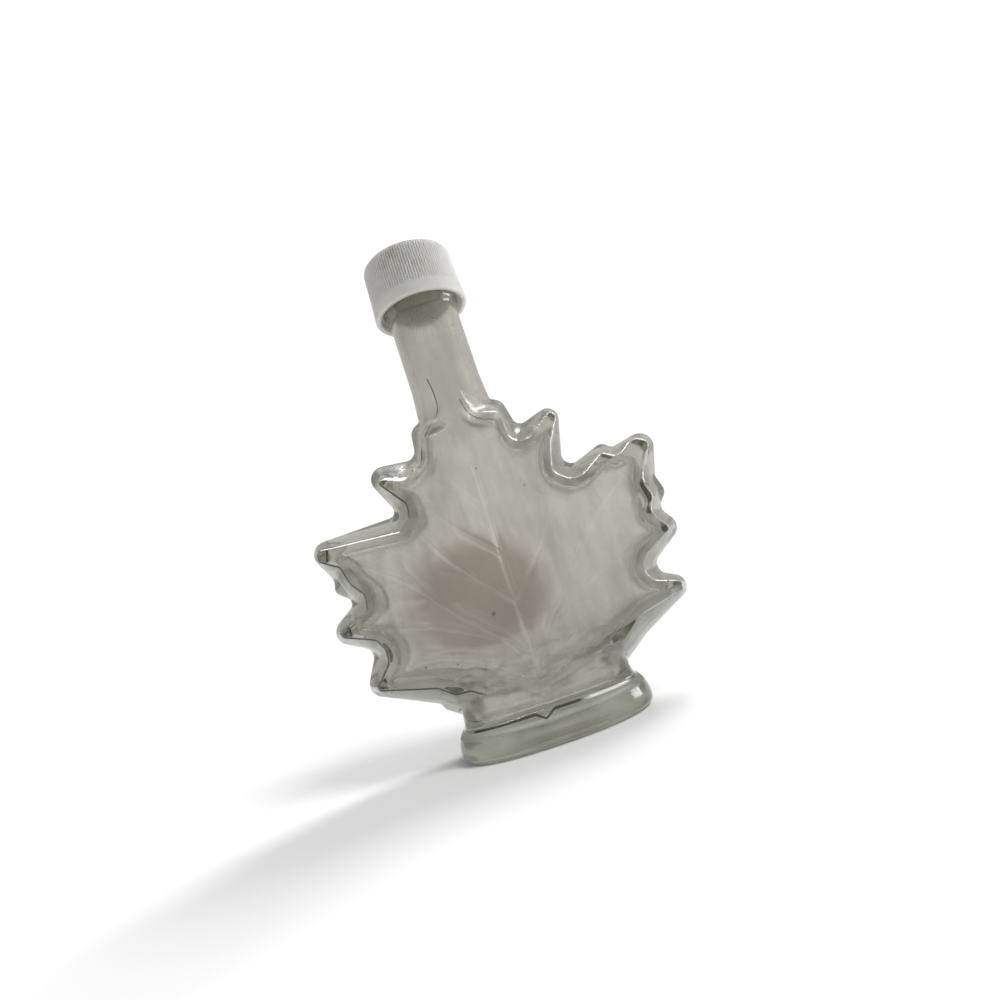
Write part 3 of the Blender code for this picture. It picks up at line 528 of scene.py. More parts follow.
def thinned(groups, fixed):
    """Keep points group by group, each at least its group's gap from all that are kept."""
    cell = max(gap for _, gap in groups)
    kept, cells = [], {}

    def cell_of(point):
        return math.floor(point[0] / cell), math.floor(point[1] / cell)

    def near(point, room):
        column, row = cell_of(point)
        return any((x - point[0]) ** 2 + (z - point[1]) ** 2 < room ** 2
                   for i in (column - 1, column, column + 1) for j in (row - 1, row, row + 1)
                   for x, z in cells.get((i, j), ()))

    def add(point):
        cells.setdefault(cell_of(point), []).append(point)

    for point in fixed.tolist():
        add(point)
    for points, gap in groups:
        for point in points.tolist():
            if not near(point, gap):
                add(point)
                kept.append(point)
    return np.array(kept)


def face_grid(polygon, step):
    low, high = polygon.min(axis=0), polygon.max(axis=0)
    columns = np.arange(-math.ceil(-low[0] / step), math.ceil(high[0] / step) + 1) * step
    rows = np.arange(math.floor(low[1] / step), math.ceil(high[1] / step) + 1) * step
    grid = [(x + 0.5 * step * (i % 2), z) for i, z in enumerate(rows) for x in columns]
    return np.array(grid)


def triangulate(boundary, interior, side_ids):
    """Triangles over the outline; no inner edge may join two points of the side edges."""
    for _ in range(8):
        points = np.vstack([boundary, interior])
        loop = list(range(len(boundary)))
        flat = [tuple(point) for point in points.tolist()]
        _, _, faces, origin, _, _ = delaunay_2d_cdt(flat, [], [loop], 1, 1e-6)
        names = [source[0] for source in origin]
        triangles = np.array([[names[i] for i in face] for face in faces])
        on_side = np.isin(triangles, side_ids)
        chords = set()
        for triangle in triangles[on_side.sum(axis=1) > 1].tolist():
            for a, b in zip(triangle, triangle[1:] + triangle[:1]):
                beside = (b - a) % len(boundary) in (1, len(boundary) - 1)
                if a in side_ids and b in side_ids and not beside:
                    chords.add((min(a, b), max(a, b)))
        if not chords:
            return points, triangles
        middles = np.array([(points[a] + points[b]) / 2.0 for a, b in sorted(chords)])
        interior = np.vstack([interior, middles])
    raise RuntimeError("the outline still has chords")


def rows_within(points, low, high):
    """The points whose height is between two heights."""
    return points[(points[:, 1] > low) & (points[:, 1] < high)]


def row_between(half_width, height):
    """Points of a top or bottom row between, and without, the two side edges."""
    count = NECK_SIDES // 2
    return np.array([(-half_width * math.cos(math.pi * i / count), height)
                     for i in range(1, count)])


def vein_rows(curves):
    """Five rows of points along each vein, for its crest and its two sides."""
    rows = []
    for points, _ in curves:
        normals = normals_along(points)
        rows += [points + normals * VEIN_WIDTH * share for share in (0.0, 0.45, -0.45, 1.0, -1.0)]
    return np.vstack(rows)


class Skin:
    """Front and back skin over one outline, with the vertex rings at its top and bottom."""

    def __init__(self, right, left, top_row, bottom_row, groups):
        self.boundary = np.vstack([right, bottom_row[::-1], left[::-1], top_row])
        edge = np.vstack([right, left[::-1]])
        self.low_right = len(right) - 1
        self.low_left = len(right) + len(bottom_row)
        self.high_left = self.low_left + len(left) - 1
        sides = list(range(self.low_right + 1)) + list(range(self.low_left, self.high_left + 1))
        self.side_ids = set(sides)
        groups = [(points[inside(points, edge)], gap) for points, gap in groups]
        interior = thinned(groups, self.boundary)
        self.points, self.triangles = triangulate(self.boundary, interior, sides)

    def add_to(self, mesh, depth, layers, marks, lines):
        """Make both skins; marks and lines go into the vertex layers that the material reads."""
        front, back = {}, {}
        for i, (x, z) in enumerate(self.points):
            if i in self.side_ids:
                front[i] = back[i] = mesh.verts.new((x * MM, 0.0, z * MM))
            else:
                front[i] = mesh.verts.new((x * MM, -depth[i] * MM, z * MM))
                back[i] = mesh.verts.new((x * MM, depth[i] * MM, z * MM))
            for vert in (front[i], back[i]):
                vert[layers[0]], vert[layers[1]] = marks[i], lines[i]
        for a, b, c in self.triangles.tolist():
            mesh.faces.new((front[a], front[b], front[c]))
            mesh.faces.new((back[c], back[b], back[a]))
        top = list(range(self.high_left, len(self.boundary))) + [0]
        bottom = list(range(self.low_left, self.low_right - 1, -1))
        return [[front[i] for i in ids] + [back[i] for i in ids[-2:0:-1]] for ids in (top, bottom)]


def ring(mesh, radius, height, sides, groove=0.0):
    """A ring that starts at the left edge and runs over the front to the right. With a groove it
    has rounded ribs: a soft crest and a narrow groove for each."""
    points = []
    for i in range(sides):
        angle = 2.0 * math.pi * i / sides
        wave = 0.5 - 0.5 * math.cos(2.0 * math.pi * i / POINTS_PER_RIB)
        reach = (radius - groove * wave ** 1.5) * MM
        points.append((-reach * math.cos(angle), -reach * math.sin(angle), height * MM))
    return [mesh.verts.new(point) for point in points]


def join_rings(mesh, rings):
    """Quads between each ring and the next, all of the same count."""
    for lower, upper in zip(rings, rings[1:]):
        for i in range(len(lower)):
            j = (i + 1) % len(lower)
            mesh.faces.new((lower[i], lower[j], upper[j], upper[i]))


def scaled_ring(mesh, source, shrink_x, shrink_y, height):
    return [mesh.verts.new((vert.co.x * shrink_x, vert.co.y * shrink_y, height * MM))
            for vert in source]


def finish_mesh(mesh, name, material, sharp_angle):
    """Turn every face outwards and make the smooth object."""
    bmesh.ops.recalc_face_normals(mesh, faces=mesh.faces)
    data = bpy.data.meshes.new(name)
    mesh.to_mesh(data)
    mesh.free()
    data.materials.append(material)
    data.shade_smooth()
    data.set_sharp_from_angle(angle=math.radians(sharp_angle))
    piece = bpy.data.objects.new(name, data)
    bpy.context.scene.collection.objects.link(piece)
    return piece


# ==== bottle
def line_strength(points, beyond, crease):
    """1 where the crease round the face gets a painted highlight, and -1 where it gets painted
    shade, which is below and on the left, and on the lines round the pockets."""
    strength = np.zeros(len(points))
    near = np.abs(beyond) < 3.0 * PAINTED_SHADE_WIDTH
    spots, step = points[near], 0.3
    ahead, behind = ([signed_distance(spots + shift, crease) for shift in shifts]
                     for shifts in (np.eye(2) * step, np.eye(2) * -step))
    across = np.stack(ahead, axis=1) - np.stack(behind, axis=1)
    across /= np.linalg.norm(across, axis=1)[:, None] + 1e-9
    side = smooth_step(across @ np.array(BRIGHT_SIDE), *BRIGHT_SPAN)
    highlight = side * (LEAST_HIGHLIGHT + (1.0 - LEAST_HIGHLIGHT) * smooth_step(spots[:, 0], *HIGHLIGHT_SPAN))
    width = PAINTED_SHADE_WIDTH + (LINE_WIDTH - PAINTED_SHADE_WIDTH) * side
    strength[near] = np.exp(-(beyond[near] / width) ** 2) * (highlight + side - 1.0)
    strength *= smooth_step(-points[:, 1], -LINE_END[1], -LINE_END[0])
    strength *= np.maximum(smooth_step(np.abs(points[:, 0]), *LINE_GAP),
                           smooth_step(points[:, 1], *LINE_GAP_TOP))
    for stroke, width in SHADE_STROKES:
        gap = distance_to(points, curve_through(stroke, 0.5))
        strength = np.where(gap < 1.5 * width, -np.exp(-(gap / width) ** 2), strength)
    return strength


def outer_skin(mesh, layers):
    sides = right, left = side_outline(RIGHT_CORNERS, 1.0), side_outline(LEFT_CORNERS, -1.0)
    edge = np.vstack([right, left[::-1]])
    leaf, crease, curves = leaf_polygon(), crease_polygon(), vein_curves()
    necks = [line[line[:, 1] > NECK_ROWS_BOTTOM] for line in sides]
    walls = [wall_rows(line[line[:, 1] > FACE_BOTTOM], closed(crease)) for line in sides]
    rings = np.vstack(inward_rings(necks, NECK_INSETS, edge) + walls
                      + inward_rings(crease_lines(), CREASE_INSETS, crease))
    rings = rows_within(rings, *FACE_ROWS["rings"])
    grid = rows_within(face_grid(edge, FACE_GRID), *FACE_ROWS["grid"])
    foot_rows = [row_between(foot_size(height, 1) - 0.01, height)
                 for height in np.arange(FOOT_ROW_STEP, FOOT_ROWS_TOP, FOOT_ROW_STEP)]
    strokes = [(curve_through(stroke, VEIN_STEP), 0.0) for stroke, _ in SHADE_STROKES]
    groups = [(np.vstack(foot_rows), 0.05), (vein_rows(strokes), 0.1), (rings, 0.1),
              (vein_rows(curves), 0.3), (grid, 0.75)]
    skin = Skin(right, left, row_between(NECK_RADIUS, NECK_JOINT_HEIGHT),
                row_between(foot_size(0.0, 1), 0.0), groups)
    inset = distance_to(skin.points, closed(leaf)) * inside(skin.points, leaf)
    beyond = signed_distance(skin.points, crease)
    height = outer_height(skin.points, inset, beyond)
    veins = smooth_step(-beyond, *VEIN_FADE) * vein_height(skin.points, curves)
    veins *= 1.0 - FAINT_VEINS[0] * smooth_step(skin.points[:, 0], *FAINT_VEINS[1:])
    height += veins + stem_height(skin.points) * smooth_step(height, *STEM["fade"])
    slab = slab_height(skin.points, inset, beyond)
    blended = foot_height(skin.points[:, 0], skin.points[:, 1])
    wall = smooth_step(beyond, 0.3, 0.7) * smooth_step(slab - blended, -0.6, 0.3)
    marks = veins / VEIN_HEIGHT - wall
    return skin.add_to(mesh, height, layers, marks, line_strength(skin.points, beyond, crease))


def cavity_skin(mesh, layers):
    right, left = cavity_outline(1.0), cavity_outline(-1.0)
    edge = np.vstack([right, left[::-1]])
    crease = crease_polygon()
    shoulders = [CAVITY_SHOULDER + gap for gap in CAVITY_SHOULDER_ROWS]
    rings = np.vstack(inward_rings((right, left), CAVITY_RINGS, edge)
                      + inward_rings(crease_lines(), shoulders, crease))
    rings = rows_within(rings, *CAVITY_ROWS["rings"])
    grid = rows_within(face_grid(edge, CAVITY_GRID), *CAVITY_ROWS["grid"])
    skin = Skin(right, left, row_between(BORE_RADIUS, NECK_JOINT_HEIGHT),
                row_between(CAVITY_FLOOR["half_width"], FLOOR_TOP), [(rings, 0.14), (grid, 1.0)])
    inset = distance_to(skin.points, closed(edge))
    beyond = signed_distance(skin.points, crease)
    height = cavity_height(skin.points, inset, beyond)
    marks = INNER_MARK + 1.0 - smooth_step(-beyond, CAVITY_SHOULDER, CAVITY_SHOULDER + RIM_WIDTH)
    return skin.add_to(mesh, height, layers, marks, np.zeros(len(marks)))


def close_underside(mesh, edge_ring):
    """The flat ring that the bottle stands on, and the shallow recess inside it."""
    half_width, half_depth = FOOT_SECTIONS[0][1:3]
    rings = [edge_ring]
    for share, height in UNDERSIDE_ROWS:
        rim = UNDERSIDE_RIM * share
        rings.append(scaled_ring(mesh, edge_ring, 1.0 - rim / half_width, 1.0 - rim / half_depth,
                                 height))
    join_rings(mesh, rings[::-1])
    mesh.faces.new(rings[-1][::-1])


def build_bottle(material):
    mesh = bmesh.new()
    for name in ("mark", "line"):
        mesh.verts.layers.float.new(name)
    layers = [mesh.verts.layers.float[name] for name in ("mark", "line")]
    neck_ring, foot_ring = outer_skin(mesh, layers)
    bore_ring, floor_ring = cavity_skin(mesh, layers)
    close_underside(mesh, foot_ring)
    floor = [floor_ring]
    for turn in (30.0, 60.0, 90.0):
        drop = math.sin(math.radians(turn))
        shrink = 1.0 - math.cos(math.radians(turn))
        height = FLOOR_HEIGHT + FLOOR_ROUNDING * (1.0 - drop)
        narrower, shallower = (1.0 - share * shrink for share in FLOOR_SHRINK)
        floor.append(scaled_ring(mesh, floor_ring, narrower, shallower, height))
    join_rings(mesh, floor)
    mesh.faces.new(floor[-1])
    neck = [ring(mesh, radius, height, NECK_SIDES) for height, radius in NECK_PROFILE]
    join_rings(mesh, [neck_ring] + neck + [bore_ring])
    for inner in floor[1:] + neck[-1:]:
        for vert in inner:
            vert[layers[0]] = INNER_MARK
    return finish_mesh(mesh, "leaf_bottle", material, 50.0)


# ==== cap
def build_cap(material):
    mesh = bmesh.new()

    def wall_radius(z):
        share = (z - CAP_BOTTOM) / (CAP_TOP - CAP_BOTTOM)
        return CAP_RADIUS_BOTTOM + (CAP_RADIUS_TOP - CAP_RADIUS_BOTTOM) * share

    band_top = CAP_BOTTOM + CAP_BAND
    levels = [
        (CAP_BOTTOM, -0.55, 0.0), (CAP_BOTTOM + 0.08, -0.3, 0.0), (CAP_BOTTOM + 0.3, -0.08, 0.0),
        (CAP_BOTTOM + 0.6, 0.0, 0.0), (band_top - 0.35, 0.0, 0.0), (band_top - 0.1, -0.04, 0.0),
        (band_top + 0.1, -0.1, 0.3), (band_top + 0.45, -0.08, 0.9), (band_top + 0.9, -0.05, 1.0),
        (CAP_TOP - 1.3, -0.05, 1.0), (CAP_TOP - 0.85, -0.12, 0.95), (CAP_TOP - 0.5, -0.3, 0.7),
        (CAP_TOP - 0.22, -0.62, 0.35), (CAP_TOP - 0.05, -1.05, 0.1), (CAP_TOP, -1.6, 0.0),
    ]
    outer = [ring(mesh, wall_radius(z) + inset, z, CAP_SIDES, RIB_DEPTH * share)
             for z, inset, share in levels]
    outer += [ring(mesh, radius, CAP_TOP + drop, CAP_SIDES)
              for radius, drop in ((11.0, 0.0), (7.0, -0.05), (2.5, -0.07))]
    bore = CAP_RADIUS_BOTTOM - CAP_WALL
    inner = [ring(mesh, radius, height, CAP_SIDES) for radius, height in (
        (bore - 0.4, CAP_TOP - CAP_TOP_THICKNESS), (bore, CAP_BOTTOM + 0.8),
        (bore + 0.1, CAP_BOTTOM + 0.25), (bore + 0.5, CAP_BOTTOM))]
    join_rings(mesh, inner + outer)
    mesh.faces.new(outer[-1])
    mesh.faces.new(inner[0][::-1])
    return finish_mesh(mesh, "ribbed_screw_cap", material, 60.0)


# ==== materials
def rgb(red, green, blue):
    return (red, green, blue, 1.0)


# A pair of colours is for the two ends of a grain or mottle.
GLASS_IOR = 1.47
GLASS_TINT = rgb(0.60, 0.625, 0.56)
GLASS_DENSITY = 30.0
FACE_COLOUR = rgb(0.83, 0.82, 0.79)
# The veins are painted lighter than the face: a painted highlight along their crests.
VEIN_HIGHLIGHT = rgb(0.97, 0.965, 0.95)
# Painted shade on the side walls, darker on the right.
LEFT_WALL_COLOURS = (rgb(0.48, 0.485, 0.455), rgb(0.78, 0.785, 0.75))
RIGHT_WALL_COLOURS = (rgb(0.36, 0.365, 0.34), rgb(0.64, 0.645, 0.61))
FLOW_COLOUR = rgb(0.46, 0.455, 0.41)
FOOT_COLOURS = (rgb(0.55, 0.56, 0.51), rgb(0.79, 0.80, 0.75))
FOOT_SHADE = rgb(0.36, 0.38, 0.34)
# Painted shade in the right pocket beside the neck.
POCKET_SHADE = rgb(0.26, 0.26, 0.23)
# Painted highlight and painted shade for the lines along the crease and the foot's rim.
BRIGHT_LINE = rgb(0.95, 0.95, 0.93)
DARK_LINE = rgb(0.03, 0.03, 0.025)
CLEAN_FILM = rgb(1.0, 0.99, 0.97)
HAZY_FILM = rgb(0.68, 0.67, 0.64)
SPOT_COLOUR = rgb(0.5, 0.48, 0.44)
SPECK_COLOUR = rgb(0.16, 0.12, 0.08)
PLASTIC_IOR = 1.49
PLASTIC_COLOURS = (rgb(0.80, 0.795, 0.76), rgb(0.72, 0.71, 0.67))
GROOVE_COLOUR = rgb(0.50, 0.48, 0.42)
BAND_COLOUR = rgb(0.50, 0.485, 0.44)
STAIN_COLOUR = rgb(0.38, 0.30, 0.22)
GRIME_COLOUR = rgb(0.52, 0.46, 0.36)
FLOOR_COLOUR = rgb(0.86, 0.86, 0.86)

# ---- camera, lights and room
CAMERA_PLACE = (4.663, -186.669, 39.479)
CAMERA_RIGHT = (0.948173, 0.048703, -0.313999)
CAMERA_DOWN = (-0.317753, 0.145743, -0.936906)
FOCAL_SHARE = 0.620     # focal length over the picture's width
SENSOR_WIDTH = 36.0
# In metres: half the floor's side, how far it lies below the foot, and the soft boxes
FLOOR_REACH = 12.0
FLOOR_DROP = 0.00005
SOFT_BOX_CENTRE = Vector((0.0, 0.0, 0.06))
SOFT_BOX_DISTANCE = 0.6
SOFT_BOX_SIZE = 0.26
BACKDROP_STRENGTH = 1.05
ROOM_COLOUR = rgb(1.0, 0.975, 0.92)
LOW_SHADE_DIRECTION = (-0.12, 0.985, -0.12)
LOW_SHADE_COLOUR = rgb(0.60, 0.57, 0.51)
DARK_PATCH_DIRECTION = (-0.08, 0.997, 0.013)
DARK_PATCH_FLATNESS = 1.15
DARK_PATCH_EDGE = (0.092, 0.125)
DARK_PATCH_COLOUR = rgb(0.52, 0.46, 0.40)


class Nodes:
    """Short calls for a material's or world's node tree."""

    def __init__(self, owner):
        owner.use_nodes = True
        self.tree = owner.node_tree
        self.tree.nodes.clear()

    def add(self, kind, **inputs):
        node = self.tree.nodes.new("ShaderNode" + kind)
        for name, value in inputs.items():
            self.set(node, name.replace("_", " "), value)
        return node

    def set(self, node, socket, value):
        slot = node.inputs[socket]
        if isinstance(value, bpy.types.NodeSocket):
            self.tree.links.new(value, slot)
        else:
            slot.default_value = value

    def math(self, operation, *values):
        node = self.add("Math")
        node.operation = operation
        for i, value in enumerate(values):
            self.set(node, i, value)
        return node.outputs[0]

    def fold(self, operation, *values):
        return functools.reduce(lambda a, b: self.math(operation, a, b), values)

    times = functools.partialmethod(fold, "MULTIPLY")
    plus = functools.partialmethod(fold, "ADD")
    most = functools.partialmethod(fold, "MAXIMUM")

    def off(self, value, centre=0.0):
        """How far a value is from a centre, without its sign."""
        return self.math("ABSOLUTE", self.math("SUBTRACT", value, centre))

    def vector_math(self, operation, a, b):
        node = self.add("VectorMath", Vector=a)
        node.operation = operation
        self.set(node, 1, b)
        return node.outputs

    def distance(self, vector, place=(0.0, 0.0, 0.0)):
        return self.vector_math("DISTANCE", vector, place)["Value"]

    def layer(self, name):
        """A number that each vertex carries."""
        node = self.add("Attribute")
        node.attribute_name = name
        return node.outputs["Fac"]

    def place(self, scale=(1.0, 1.0, 1.0)):
        mapping = self.add("Mapping", Scale=scale)
        self.set(mapping, "Vector", self.add("TexCoord").outputs["Object"])
        return mapping.outputs["Vector"]

    def millimetres(self):
        return self.place((1.0 / MM,) * 3)

    def noise(self, scale, detail=3.0, roughness=0.5, stretch=(1.0, 1.0, 1.0)):
        """Noise with the given number of waves to the millimetre."""
        node = self.add("TexNoise", Scale=scale / MM, Detail=detail, Roughness=roughness)
        self.set(node, "Vector", self.place(stretch))
        return node.outputs["Fac"]

    def span(self, value, low, high, to_low=0.0, to_high=1.0):
        """Turn a value's span from low to high into one from to_low to to_high, and end there."""
        node = self.add("MapRange", Value=value, From_Min=low, From_Max=high, To_Min=to_low,
                        To_Max=to_high)
        node.clamp = True
        return node.outputs["Result"]

    def fall(self, value, low, high):
        return self.span(value, low, high, 1.0, 0.0)

    def within(self, value, rise, fall):
        """1 between two ramps, each given by where it starts and ends."""
        return self.times(self.span(value, *rise), self.fall(value, *fall))

    def mix(self, share, a, b):
        """A colour between two."""
        node = self.add("Mix")
        node.data_type = "RGBA"
        self.set(node, 0, share)
        self.set(node, 6, a)
        self.set(node, 7, b)
        return node.outputs[2]

    def blend(self, share, a, b):
        """A number between two."""
        node = self.add("Mix")
        self.set(node, 0, share)
        self.set(node, 2, a)
        self.set(node, 3, b)
        return node.outputs[0]


def new_material(name, **inputs):
    """A material with one shader, along with its nodes, that shader and the output."""
    material = bpy.data.materials.new(name)
    nodes = Nodes(material)
    shader = nodes.add("BsdfPrincipled", Metallic=0.0, **inputs)
    return material, nodes, shader, nodes.add("OutputMaterial", Surface=shader.outputs["BSDF"])


def film_inside(nodes, on_leaf, y, rim):
    """Colour and roughness of the hollow's surface: haze, streaks, spots and dark specks."""
    cloud = nodes.noise(0.03, 5.0, 0.62)
    smears = nodes.noise(0.09, 5.0, 0.62, (2.4, 2.4, 0.5))
    streaks = nodes.noise(0.22, 4.0, 0.6, (2.2, 2.2, 0.35))
    haze = nodes.most(nodes.span(nodes.times(cloud, smears), 0.15, 0.36),
                      nodes.span(streaks, 0.4, 0.7, 0.0, 0.35))
    film = nodes.mix(haze, CLEAN_FILM, HAZY_FILM)
    spots = nodes.span(nodes.noise(0.9, 3.0, 0.6), 0.66, 0.74, 0.0, 0.35)
    film = nodes.mix(spots, film, SPOT_COLOUR)
    in_front = nodes.span(y, -1.0, 1.0, 0.85, 0.0)
    for (speck_x, speck_z), size in SPECKS:
        gap = nodes.distance(on_leaf, (speck_x, 0.0, speck_z))
        speck = nodes.times(nodes.fall(gap, 0.6 * size, size), in_front)
        film = nodes.mix(speck, film, SPECK_COLOUR)
    return film, nodes.plus(nodes.span(haze, 0.0, 1.0, 0.06, 0.22), nodes.times(rim, 0.20))


def painted_lines(nodes, x, y, height):
    """Where lines along the crease and the foot's rim get a painted highlight, and where painted
    shade.
    """
    behind_neck = nodes.times(nodes.span(height, 88.5, 89.5), nodes.span(y, -1.0, 1.0))
    line = nodes.times(nodes.layer("line"), nodes.math("SUBTRACT", 1.0, behind_neck))
    # The foot's rim line: painted shade on the left, a painted highlight on the right.
    dip = nodes.span(nodes.off(x, STEM["tip"][0]), 0.0, RIM_DIP_WIDTH, RIM_DIP_DEPTH, 0.0)
    ridge = nodes.fall(nodes.off(nodes.plus(height, dip), RIM_LINE_HEIGHT), *RIM_LINE_EDGE)
    ridge = nodes.times(ridge, nodes.fall(nodes.off(x), *RIM_LINE_END))
    on_right = nodes.span(x, *RIM_LINE_BRIGHT)
    bright = nodes.most(nodes.span(line, 0.2, 0.9), nodes.times(ridge, on_right))
    dark = nodes.most(nodes.fall(line, -0.8, -0.25),
                      nodes.times(ridge, nodes.fall(on_right, 0.0, 1.0)))
    return bright, dark


def pocket_depth(nodes, on_leaf):
    """How far a place lies within the overlap of the pocket's two circles."""
    depths = [nodes.math("SUBTRACT", radius, nodes.distance(on_leaf, (centre_x, 0.0, centre_z)))
              for (centre_x, centre_z), radius in POCKET_CIRCLES]
    return nodes.math("MINIMUM", *depths)


def glass_material():
    """Used clear glass, hazy inside, with painted shade on its side walls, in the right pocket and
    on the crease's lower and left side, and painted highlights on the veins and the crease's upper
    and right side.
    """
    material, nodes, shader, output = new_material("clear_glass", IOR=GLASS_IOR,
                                                   Transmission_Weight=1.0)
    x, y, height = nodes.add("SeparateXYZ", Vector=nodes.millimetres()).outputs
    on_leaf = nodes.add("CombineXYZ", X=x, Z=height).outputs["Vector"]
    mark = nodes.layer("mark")
    inner = nodes.span(mark, 1.2, 2.8)
    rim = nodes.span(mark, INNER_MARK, INNER_MARK + 1.0)
    vein = nodes.within(mark, (0.1, 0.8), (1.0, 1.2))
    wall = nodes.within(height, (8.5, 11.5), (94.0, 101.0))
    wall = nodes.times(nodes.fall(mark, -1.0, 0.0), wall)
    on_foot = nodes.times(nodes.fall(height, 7.2, 8.2), nodes.fall(inner, 0.0, 1.0))
    film, film_roughness = film_inside(nodes, on_leaf, y, rim)
    bright, dark = painted_lines(nodes, x, y, height)

    grain = nodes.span(nodes.noise(1.1, 4.0, 0.7), 0.3, 0.7)
    # The side walls get painted shade, darker on the right, with grain.
    edge = nodes.mix(nodes.span(x, 8.0, 26.0), nodes.mix(grain, *LEFT_WALL_COLOURS),
                     nodes.mix(grain, *RIGHT_WALL_COLOURS))
    flow = nodes.span(nodes.noise(0.34, 4.0, 0.65, (0.45, 0.45, 1.3)), 0.47, 0.60, 0.0, 0.75)
    flow = nodes.times(flow, nodes.within(height, (9.5, 11.5), (20.0, 27.0)))
    # Painted shade in the right pocket: a dark rim round it and a darker inside.
    depth = pocket_depth(nodes, on_leaf)
    in_pocket = nodes.span(depth, -0.1, 0.4)
    pocket_shade = nodes.most(nodes.span(nodes.off(depth), 0.10, 0.32, 0.8, 0.0),
                      nodes.times(in_pocket, nodes.span(grain, 0.0, 1.0, 0.9, 0.6)))
    mottle = nodes.span(nodes.noise(0.16, 4.0, 0.6), 0.3, 0.7)
    # The foot gets darker towards its right end: painted shade.
    foot_colour = nodes.mix(nodes.span(x, 12.0, 24.0, 0.0, 0.5), nodes.mix(mottle, *FOOT_COLOURS),
                            FOOT_SHADE)
    # The veins are painted lighter: a painted highlight along their crests.
    outside = nodes.mix(vein, FACE_COLOUR, VEIN_HIGHLIGHT)
    for share, colour in ((flow, FLOW_COLOUR), (wall, edge), (pocket_shade, POCKET_SHADE),
                          (on_foot, foot_colour), (bright, BRIGHT_LINE), (dark, DARK_LINE)):
        outside = nodes.mix(share, outside, colour)
    nodes.set(shader, "Base Color", nodes.mix(inner, outside, film))

    # Less clear where the glass is cloudy and where painted highlight and painted shade lie, so
    # their colour shows.
    haze_and_painted_light = nodes.most(nodes.times(nodes.most(wall, on_foot), 0.10), nodes.times(bright, 0.5),
                        nodes.times(dark, 0.85), nodes.times(pocket_shade, 0.55))
    nodes.set(shader, "Transmission Weight", nodes.fall(haze_and_painted_light, 0.0, 1.0))

    neck = nodes.times(nodes.span(height, 84.0, 92.0, 0.0, 0.19),
                       nodes.span(height, 126.0, 132.0, 1.0, 0.3))
    foot = nodes.span(height, 6.2, 7.8, 0.13, 0.0)
    crest = nodes.span(nodes.off(height, FOOT_CREST), 0.7, 1.3, 0.4, 0.0)
    roughness = nodes.plus(neck, foot, crest, nodes.times(vein, 0.10), nodes.times(wall, 0.15),
                           nodes.times(dark, 0.4), nodes.times(in_pocket, 0.25))
    nodes.set(shader, "Roughness", nodes.blend(inner, roughness, film_roughness))
    absorption = nodes.add("VolumeAbsorption", Color=GLASS_TINT, Density=GLASS_DENSITY)
    nodes.set(output, "Volume", absorption.outputs["Volume"])
    return material


def plastic_material():
    """White plastic, darker in the grooves between the ribs, with a greyer band, stains and grime.
    """
    material, nodes, shader, _ = new_material(
        "white_plastic", IOR=PLASTIC_IOR, Transmission_Weight=0.22, Subsurface_Weight=1.0,
        Subsurface_Radius=(1.0, 1.0, 0.9), Subsurface_Scale=5.0 * MM)
    shade = nodes.noise(0.12, 4.0, 0.6)
    grime = nodes.noise(0.5, 4.0, 0.65)
    place = nodes.millimetres()
    x, y, height = nodes.add("SeparateXYZ", Vector=place).outputs
    flat = nodes.add("CombineXYZ", X=x, Y=y).outputs["Vector"]
    wall = nodes.span(height, CAP_BOTTOM, CAP_TOP, CAP_RADIUS_BOTTOM, CAP_RADIUS_TOP)
    depth = nodes.math("SUBTRACT", wall, nodes.distance(flat))
    # Darker in the grooves between the ribs.
    groove = nodes.times(nodes.span(depth, 0.12, RIB_DEPTH, 0.0, 0.55),
                         nodes.within(height, (138.2, 138.8), (150.0, 150.6)))
    colour = nodes.mix(nodes.span(shade, 0.35, 0.7), *PLASTIC_COLOURS)
    colour = nodes.mix(groove, colour, GROOVE_COLOUR)
    colour = nodes.mix(nodes.span(height, 134.5, 138.0, 0.35, 0.0), colour, BAND_COLOUR)
    for centre, size, strength in CAP_STAINS:
        stain = nodes.span(nodes.distance(place, centre), 0.3 * size, size, strength, 0.0)
        stain = nodes.times(stain, nodes.span(grime, 0.35, 0.6, 0.3, 1.0))
        colour = nodes.mix(stain, colour, STAIN_COLOUR)
    colour = nodes.mix(nodes.span(grime, 0.55, 0.75, 0.0, 0.4), colour, GRIME_COLOUR)
    nodes.set(shader, "Base Color", colour)
    nodes.set(shader, "Roughness", nodes.span(shade, 0.3, 0.7, 0.38, 0.55))
    return material


def floor_material():
    return new_material("pale_floor", Base_Color=FLOOR_COLOUR, Roughness=0.9,
                        Specular_IOR_Level=0.1)[0]


# ==== studio
def build_camera():
    right = Vector(CAMERA_RIGHT).normalized()
    up = -Vector(CAMERA_DOWN).normalized()
    back = right.cross(up).normalized()
    up = back.cross(right)
    data = bpy.data.cameras.new("camera")
    data.sensor_width = SENSOR_WIDTH
    data.lens = FOCAL_SHARE * SENSOR_WIDTH
    data.clip_start = 0.01
    camera = bpy.data.objects.new("camera", data)
    turn = Matrix((right, up, back)).transposed().to_4x4()
    camera.matrix_world = Matrix.Translation(Vector(CAMERA_PLACE) * MM) @ turn
    bpy.context.scene.collection.objects.link(camera)
    bpy.context.scene.camera = camera


def build_floor():
    mesh = bmesh.new()
    mesh.faces.new([mesh.verts.new((x * FLOOR_REACH, y * FLOOR_REACH, 0.0))
                    for x, y in ((-1, -1), (1, -1), (1, 1), (-1, 1))])
    floor = finish_mesh(mesh, "floor", floor_material(), 30.0)
    floor.location.z = -FLOOR_DROP
    floor.visible_transmission = False
    return floor


